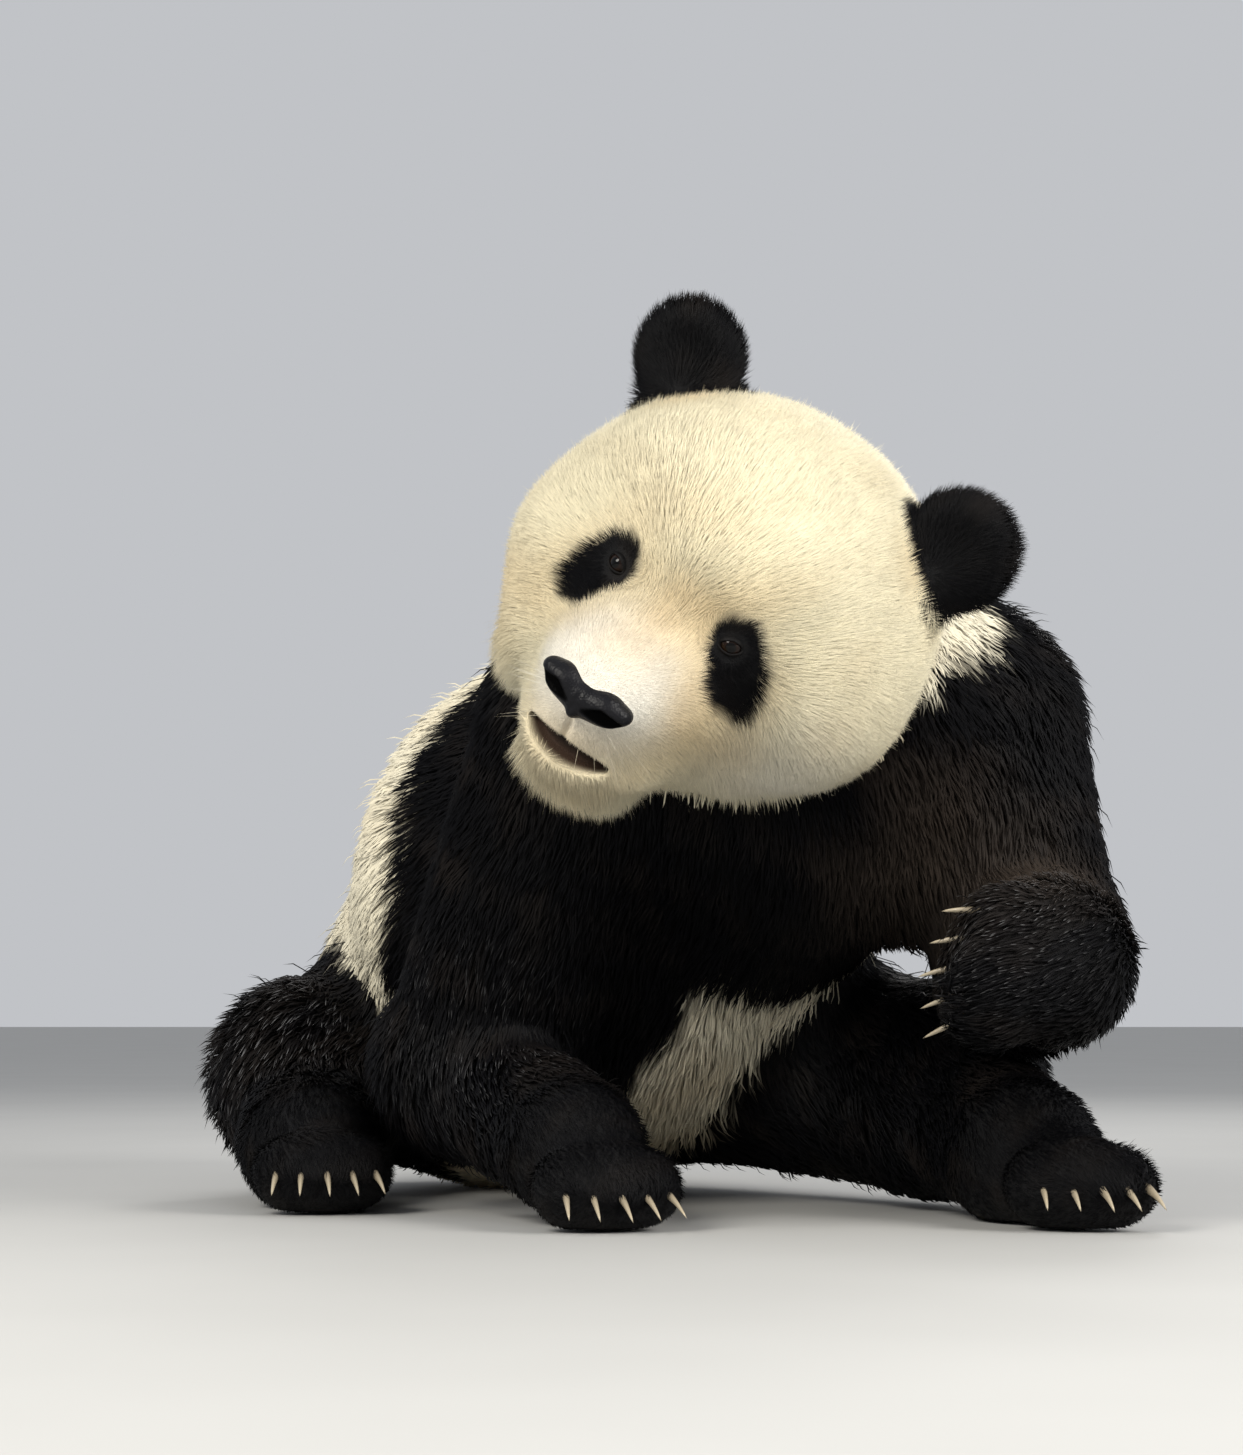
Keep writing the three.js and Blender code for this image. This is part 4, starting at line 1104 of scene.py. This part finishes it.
def make_fur_material(name):
    """The pelt's colour, each tuft a little its own and darker towards its root as painted shade, with pale
    tips and painted glints on some and streaks along each.
    """
    material, tree, shader = new_material(name, roughness=0.5, specular=0.09)
    along, tint = attribute(tree, "along"), attribute(tree, "tint")
    # Painted shade: each tuft darker towards its root, where the coat shades itself, and by a random share
    # of its own too.
    shade = product(tree, remap(tree, along, 0.0, 0.6, 0.82, 1.02), remap(tree, tint, 0.0, 1.0, 0.86, 1.05))
    # Painted glints and pale tips: the tips of some black tufts turned pale grey.
    tips = product(tree, remap(tree, along, 0.62, 1.0, 0.0, 1.0), remap(tree, tint, 0.68, 0.84, 0.0, 1.0),
                   attribute(tree, "pale_tips_and_glints"), attribute(tree, "black"))
    feed(tree, shader.inputs["Base Color"], blend_colour(tree, tips, pelt_colour(tree, shade), PALE_TIP_AND_GLINT))
    uv = add_node(tree, "ShaderNodeUVMap", settings=[("uv_map", "Strands")]).outputs["UV"]
    stretched = add_node(tree, "ShaderNodeMapping", uv, Scale=(14, 1.2, 1)).outputs[0]
    streaks = add_node(tree, "ShaderNodeTexNoise", Vector=stretched, Scale=1.0, Detail=1.0).outputs["Fac"]
    raise_surface(tree, shader, streaks, 0.0005, 0.5)
    return material


def make_skin_material():
    material, tree, shader = new_material("pelt_skin", roughness=0.7, specular=0.2)
    fine = object_noise(tree, 900, 2)
    # Painted shade: the skin under the coat darkened to between 0.72 and 0.92 of the pelt's colour, in fine
    # noise.
    colour = pelt_colour(tree, remap(tree, fine, 0.2, 0.8, 0.72, 0.92))
    # Painted shade between the lips: darkest under the upper lip, turning to brown towards the lower one.
    lips = blend_colour(tree, attribute(tree, "lower_lip"), MOUTH_SHADE, LIP_BROWN)
    feed(tree, shader.inputs["Base Color"], blend_colour(tree, attribute(tree, "lip"), colour, lips))
    raise_surface(tree, shader, fine, 0.0012)
    return material


def make_nose_material():
    """Black pebbled leather, with painted shade inside the nostrils: darker there, and dull."""
    material, tree, shader = new_material("nose_leather", roughness=0.4)
    coords = add_node(tree, "ShaderNodeTexCoord").outputs["Object"]
    cells = add_node(tree, "ShaderNodeTexVoronoi", Vector=coords, Scale=520.0).outputs["Distance"]
    tone = object_noise(tree, 90, 3)
    nostril = attribute(tree, "nostril")
    leather = blend_colour(tree, tone, NOSE_DARK, NOSE_LIGHT)
    # Painted shade: the nostrils darker and without a shine.
    feed(tree, shader.inputs["Base Color"], blend_colour(tree, nostril, leather, NOSTRIL_SHADE_BLACK))
    feed(tree, shader.inputs["Specular IOR Level"], remap(tree, nostril, 0.0, 1.0, 0.14, 0.01))
    feed(tree, shader.inputs["Roughness"], remap(tree, tone, 0.3, 0.7, 0.30, 0.46))
    raise_surface(tree, shader, cells, 0.0005, 0.5)
    return material


def make_eye_material():
    material, tree, shader = new_material("eye_wet", roughness=0.07, specular=0.2)
    ramp = add_node(tree, "ShaderNodeValToRGB", Fac=attribute(tree, "from_pupil"))
    elements = ramp.color_ramp.elements
    while len(elements) < len(EYE_COLOURS):
        elements.new(0.5)
    for element, (place, colour) in zip(elements, EYE_COLOURS):
        element.position = place
        element.color = (*colour, 1)
    mottle = object_noise(tree, 700, 3)
    colour = blend_colour(tree, mottle, ramp.outputs["Color"], (0.5, 0.5, 0.5), "SOFT_LIGHT")
    feed(tree, shader.inputs["Base Color"], colour)
    return material


def make_lid_material():
    material, tree, shader = new_material("lid_skin", roughness=0.55, specular=0.12)
    fine = object_noise(tree, 1200, 2)
    feed(tree, shader.inputs["Base Color"], blend_colour(tree, fine, LID_DARK, LID_LIGHT))
    raise_surface(tree, shader, fine, 0.0004)
    return material


def make_claw_material():
    material, tree, shader = new_material("claw_horn", roughness=0.34)
    grain = object_noise(tree, 400, 4)
    colour = blend_colour(tree, attribute(tree, "along"), CLAW_ROOT_COLOUR, CLAW_TIP_COLOUR)
    feed(tree, shader.inputs["Base Color"], blend_colour(tree, grain, colour, CLAW_GRAIN, "SOFT_LIGHT"))
    raise_surface(tree, shader, grain, 0.0003)
    return material


def make_floor_material():
    material, tree, shader = new_material("studio_floor", roughness=0.75)
    tone = object_noise(tree, 3, 2)
    feed(tree, shader.inputs["Base Color"], blend_colour(tree, tone, FLOOR_DARK, FLOOR_LIGHT))
    return material


# ---- Nose, eyes, lids and claws

def nose_form():
    """Two lobes with narrow outer ends, the bridge between them and the foot over the lip."""
    y, z = -NOSE_REACH, NOSE_HEIGHT
    shapes = [head_muscle(side * 18, y + 3, z - 4.5, (16.5, 14, 12.8)) for side in SIDES]
    shapes += [head_muscle(side * 31, y + 4, z - 2, (7.5, 10, 6.5)) for side in SIDES]
    shapes += [head_muscle(0, y + 2, z - 8, (26, 13, 13)), head_muscle(0, y + 1, z - 18, (5, 11, 6))]
    return form(shapes, 4)


NOSE_FORM = nose_form()
NOSE_CELL = 1.1 * MM
# Each nostril is a comma through three places, out, back and up from the nose's tip, with a radius at each.
NOSTRIL = ((9, -13, -13, 3.8), (21, -11.5, -9.5, 6.6), (38, -1, -9, 3.2))


def nostril_distance(p):
    d = np.ones(len(p))
    for side in SIDES:
        places = [on_head(side * x, y - NOSE_REACH, z + NOSE_HEIGHT) for x, y, z, _ in NOSTRIL]
        for n in (0, 1):
            d = np.minimum(d, limb(places[n], places[n + 1], NOSTRIL[n][3], NOSTRIL[n + 1][3])(p))
    return d


def nose_distance(p):
    """The nose pad with its nostrils and a groove down its middle."""
    d = carve(NOSE_FORM(p), nostril_distance(p), 1.5)
    h = in_head(p)
    groove = np.hypot(h[:, 0], (h[:, 1] + NOSE_REACH + 15) * 0.4) - 1.5
    return carve(d, np.maximum(groove, h[:, 2] - NOSE_HEIGHT - 9) * MM, 2.5)


def make_nose():
    low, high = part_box("nose")
    margin = Vector((0.004,) * 3)
    points, quads = closed_surface(nose_distance, low - margin, high + margin, NOSE_CELL)
    points = settle(nose_distance, points, 2, 0.3 * MM, 0.4 * MM)
    mesh = mesh_from("nose_pad", points, quads)
    # Painted shade in the nostrils: one deep in a nostril, nought 1.5 mm away.
    put_attribute(mesh, "nostril", 1 - smoothstep(0.0, 1.5 * MM, nostril_distance(points)))
    return make_object("nose_pad", mesh)


def skin_over(first, rings, around, before=None, after=None):
    """Faces over rings of points: bands between them, and at each end a fan to a pole, or one flat face."""
    starts = [first + n * around for n in range(rings)]
    faces = [(a + k, a + (k + 1) % around, b + (k + 1) % around, b + k)
             for a, b in zip(starts, starts[1:]) for k in range(around)]
    for a, pole in ((starts[0], before), (starts[-1], after)):
        if pole is None:
            faces.append(tuple(range(a, a + around)))
        else:
            faces += [(a + k, a + (k + 1) % around, pole) for k in range(around)]
    return faces


EYE_RINGS, EYE_AROUND = 39, 48
EYE_TURN = (0.34, -1, 0.05)  # the way the left eye looks, in the head's own frame
CORNEA_RISE, CORNEA_WIDTH = 0.07, 0.5  # a share of the eye's radius, and radians from the pupil


def eye_frame(side):
    """An eye's middle and its axes: outwards, forwards and up."""
    centre = middle_of("eye_left" if side > 0 else "eye_right")
    forward = unit(HEAD_TURN @ (np.array(EYE_TURN) * [side, 1, 1]))
    up = HEAD_TURN[:, 2]
    out = unit(np.cross(forward, up)) * side
    out = out if out @ HEAD_TURN[:, 0] * side > 0 else -out
    up = unit(up - (up @ forward) * forward)
    return centre, out, forward, up


def make_eye(name, side):
    """An eyeball with a raised cornea."""
    centre, out, forward, up = eye_frame(side)
    points, from_pupil = [], []
    for i in range(EYE_RINGS + 2):
        polar = math.pi * i / (EYE_RINGS + 1)
        bulge = 1 + CORNEA_RISE * math.exp(-(polar / CORNEA_WIDTH) ** 2)
        for k in range(EYE_AROUND if 0 < i <= EYE_RINGS else 1):
            a = 2 * math.pi * k / EYE_AROUND
            d = math.cos(polar) * forward + math.sin(polar) * (math.cos(a) * out + math.sin(a) * up)
            points.append(centre + d * EYE_RADIUS * 0.97 * MM * bulge)
            from_pupil.append(polar / (math.pi / 2))
    mesh = shell(name, points, skin_over(1, EYE_RINGS, EYE_AROUND, 0, len(points) - 1))
    put_attribute(mesh, "from_pupil", np.clip(from_pupil, 0, 1))
    return make_object(name, mesh)


LID_OPENING = (8.4, 4.9, 4.2)  # half the width, and the upper and lower heights of an open eye
LID_SLANT = 14  # degrees, the outer corner up
LID_AROUND = 64
# Rings of the lids from the inner edge out: how many times the opening, and how far over the eyeball.
LID_RINGS = ((1.00, -0.6), (1.00, 0.4), (1.07, 1.0), (1.20, 1.3),
             (1.42, 1.2), (1.70, 0.6), (2.0, -0.4), (2.4, -2.0))


def make_lids(name, side):
    """Upper and lower lid as one ring over the eyeball, from its almond edge out under the fur."""
    centre, out, forward, up = eye_frame(side)
    wide, high, low = LID_OPENING
    slant = math.radians(LID_SLANT)
    slant_out = np.array([math.cos(slant), math.sin(slant)])
    slant_up = np.array([-math.sin(slant), math.cos(slant)])
    points = []
    for grow, over in LID_RINGS:
        radius = EYE_RADIUS + over
        for k in range(LID_AROUND):
            a = 2 * math.pi * k / LID_AROUND
            x = wide * math.cos(a)
            z = (high if math.sin(a) > 0 else low) * math.sin(a) * (1 - 0.18 * abs(math.cos(a)))
            edge = x * slant_out + z * slant_up
            flat = edge * mix(grow, 1 + (grow - 1) * 0.75, abs(math.cos(a)))
            reach = min(np.hypot(*flat), radius * 1.25)
            flat = flat / np.hypot(*flat) * reach
            depth = math.sqrt(radius ** 2 - reach ** 2) if reach < radius else 0.9 * (radius - reach) - 0.5
            points.append(centre + (flat[0] * out + flat[1] * up + depth * forward) * MM)
    return make_object(name, shell(name, points, skin_over(0, len(LID_RINGS), LID_AROUND)))


def make_claws(name, paw):
    """The five claws of a paw, each a tapered hook, joined."""
    palm = unit(PALMS[name])
    points, along, faces = [], [], []
    for tip, heading in paw["toes"]:
        start = len(points)
        across = unit(np.cross(heading, palm))
        for n in range(CLAW_RINGS):
            t = n / CLAW_RINGS
            centre = tip + (heading * (CLAW_ROOT - 5 + (0.85 * CLAW_LENGTH + 5) * t)
                            + palm * CLAW_LENGTH * (0.45 * t * t - 0.05)) * MM
            r = CLAW_RADIUS * (1 - t) ** 0.6 * 0.92 * MM
            for k in range(CLAW_SIDES):
                a = 2 * math.pi * k / CLAW_SIDES
                points.append(centre + across * r * 0.8 * math.cos(a) + palm * r * 1.2 * math.sin(a))
                along.append(t)
        points.append(tip + (heading * (CLAW_ROOT + 0.85 * CLAW_LENGTH) + palm * CLAW_LENGTH * 0.4) * MM)
        along.append(1)
        faces += skin_over(start, CLAW_RINGS, CLAW_SIDES, after=len(points) - 1)
    mesh = shell("claws_" + name, points, faces)
    put_attribute(mesh, "along", along)
    return make_object("claws_" + name, mesh)


# ---- Putting the animal together

def finish_piece(obj, material, slot, *nodes):
    obj.data.materials.clear()
    obj.data.materials.append(material)
    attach(obj, "root")
    if nodes:
        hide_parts(*nodes)


def lip_shares(p):
    """How far each point is between the lips, and how near the lower one."""
    h = in_head(p)
    line, half = mouth_line(h)
    inside = smoothstep(1.5, -3.0, mouth_gap(h)) * (h[:, 1] < -60)
    return inside, smoothstep(0.6, -0.9, (h[:, 2] - line) / np.maximum(half, 1))


# Regions of short straight tufts, with one ring of points and not two.
SPIKED = ("head", "ear_right", "ear_left", "forepaw_right", "foot_right", "foot_left")
MOST_TRIANGLES = 195000  # in one piece of the coat


def make_coat(skin_mesh, fur):
    """The whole coat, in pieces of under 200,000 triangles, each a region of the skin or a part of one."""
    rng = np.random.default_rng(SEED)
    p, n = scatter_roots(skin_mesh, rng)
    line, width = tuft_lines(p, n, rng)
    pelt = pelt_attributes(p)
    pelt["tint"] = rng.random(len(p))
    owner = region_shares(p).argmax(axis=1)
    total = 0
    for r, region in enumerate(REGIONS):
        places = [0, 2] if region in SPIKED else [0, 1, 2]
        triangles = len(tuft_faces(len(places) - 1))
        mine = np.flatnonzero(owner == r)
        uv = chart(p[mine], region)
        order = np.argsort(uv[:, 1], kind="stable")
        parts = math.ceil(len(mine) * triangles / MOST_TRIANGLES)
        for part, chosen in enumerate(np.array_split(order, parts)):
            tufts = mine[chosen]
            name = f"coat_{region}_{part + 1}"
            values = {key: v[tufts] for key, v in pelt.items()}
            mesh = tuft_mesh(name, line[tufts][:, places], width[tufts], n[tufts], uv[chosen], values)
            slot = "black_fur" if pelt["black"][tufts].mean() > 0.5 else "white_fur"
            finish_piece(make_object(name, mesh), fur, slot)
            total += len(tufts) * triangles
            print(name, len(tufts), "tufts")
    print("coat", total, "triangles")


FLESH = ["head", "jaw", "ear_right", "ear_left", "neck", "trunk", "tail", *LEG_PAWS, *PAWS]

skin_mesh = make_skin_mesh()
print("skin", len(skin_mesh.vertices), "points", len(skin_mesh.polygons), "faces")
skin_points = points_of(skin_mesh)
for key, values in pelt_attributes(skin_points).items():
    put_attribute(skin_mesh, key, values)
for key, values in zip(("lip", "lower_lip"), lip_shares(skin_points)):
    put_attribute(skin_mesh, key, values)
finish_piece(make_object("skin", skin_mesh), make_skin_material(), "white_fur", *FLESH)
make_coat(skin_mesh, make_fur_material("fur"))

finish_piece(make_nose(), make_nose_material(), "nose", "nose")
eye_material, lid_material = make_eye_material(), make_lid_material()
for name, side in (("eye_right", -1), ("eye_left", 1)):
    finish_piece(make_eye("ball_of_" + name, side), eye_material, "eye", name)
    finish_piece(make_lids("lids_of_" + name, side), lid_material, "black_fur")
claw_material = make_claw_material()
for name, paw in PAWS.items():
    nodes = [f"claw_{name}_{n + 1}" for n in range(TOES)]
    finish_piece(make_claws(name, paw), claw_material, "claw", *nodes)


# ---- Floor, lights and camera

FLOOR_SIZE = 40.0  # metres from the middle to an edge
SKY, SKY_STRENGTH = (0.86, 0.88, 0.92), 0.62
LIT_PLACE = (0.0, -0.2, 0.4)
# Each light's place, width, power in watts and colour.
LIGHTS = {
    "key": ((-1.7, -2.7, 2.1), 1.6, 112, (1.0, 0.96, 0.88)),
    "fill": ((2.4, -2.1, 1.6), 1.8, 104, (1.0, 0.97, 0.92)),
    "rim": ((0.6, 2.4, 2.4), 1.2, 30, (1.0, 0.98, 0.95)),
}
CAMERA_PLACE = (110, -2930, 160)  # in the stance's own frame
CAMERA_TILT = 5.18  # degrees upwards
LENS = 78.46


def make_floor():
    mesh = bpy.data.meshes.new("floor")
    corners = [(x * FLOOR_SIZE, y * FLOOR_SIZE, 0) for x, y in ((-1, -1), (1, -1), (1, 1), (-1, 1))]
    mesh.from_pydata(corners, [], [(0, 1, 2, 3)])
    floor = make_object("floor", mesh, smooth=False)
    floor.data.materials.append(make_floor_material())


def soft_light(name, place, width, power, colour):
    light = bpy.data.lights.new(name, "AREA")
    light.shape = "DISK"
    light.size = width
    light.energy = power
    light.color = colour
    obj = bpy.data.objects.new(name, light)
    obj.location = place
    obj.rotation_euler = (Vector(LIT_PLACE) - Vector(place)).to_track_quat("-Z", "Y").to_euler()
    bpy.context.scene.collection.objects.link(obj)


def light_studio():
    world = bpy.data.worlds.new("studio")
    world.use_nodes = True
    sky = world.node_tree.nodes["Background"]
    sky.inputs["Color"].default_value = (*SKY, 1)
    sky.inputs["Strength"].default_value = SKY_STRENGTH
    bpy.context.scene.world = world
    bpy.context.scene.view_settings.view_transform = "Standard"
    for name, settings in LIGHTS.items():
        soft_light(name, *settings)


def place_camera():
    """The camera stands low in front of the panda and looks slightly up, on a long lens."""
    data = bpy.data.cameras.new("camera")
    data.sensor_width = 36
    data.sensor_fit = "AUTO"
    data.lens = LENS
    camera = bpy.data.objects.new("camera", data)
    camera.location = stance(*CAMERA_PLACE)
    camera.rotation_euler = (math.radians(90 + CAMERA_TILT), 0, 0)
    bpy.context.scene.collection.objects.link(camera)
    bpy.context.scene.camera = camera


make_floor()
light_studio()
place_camera()
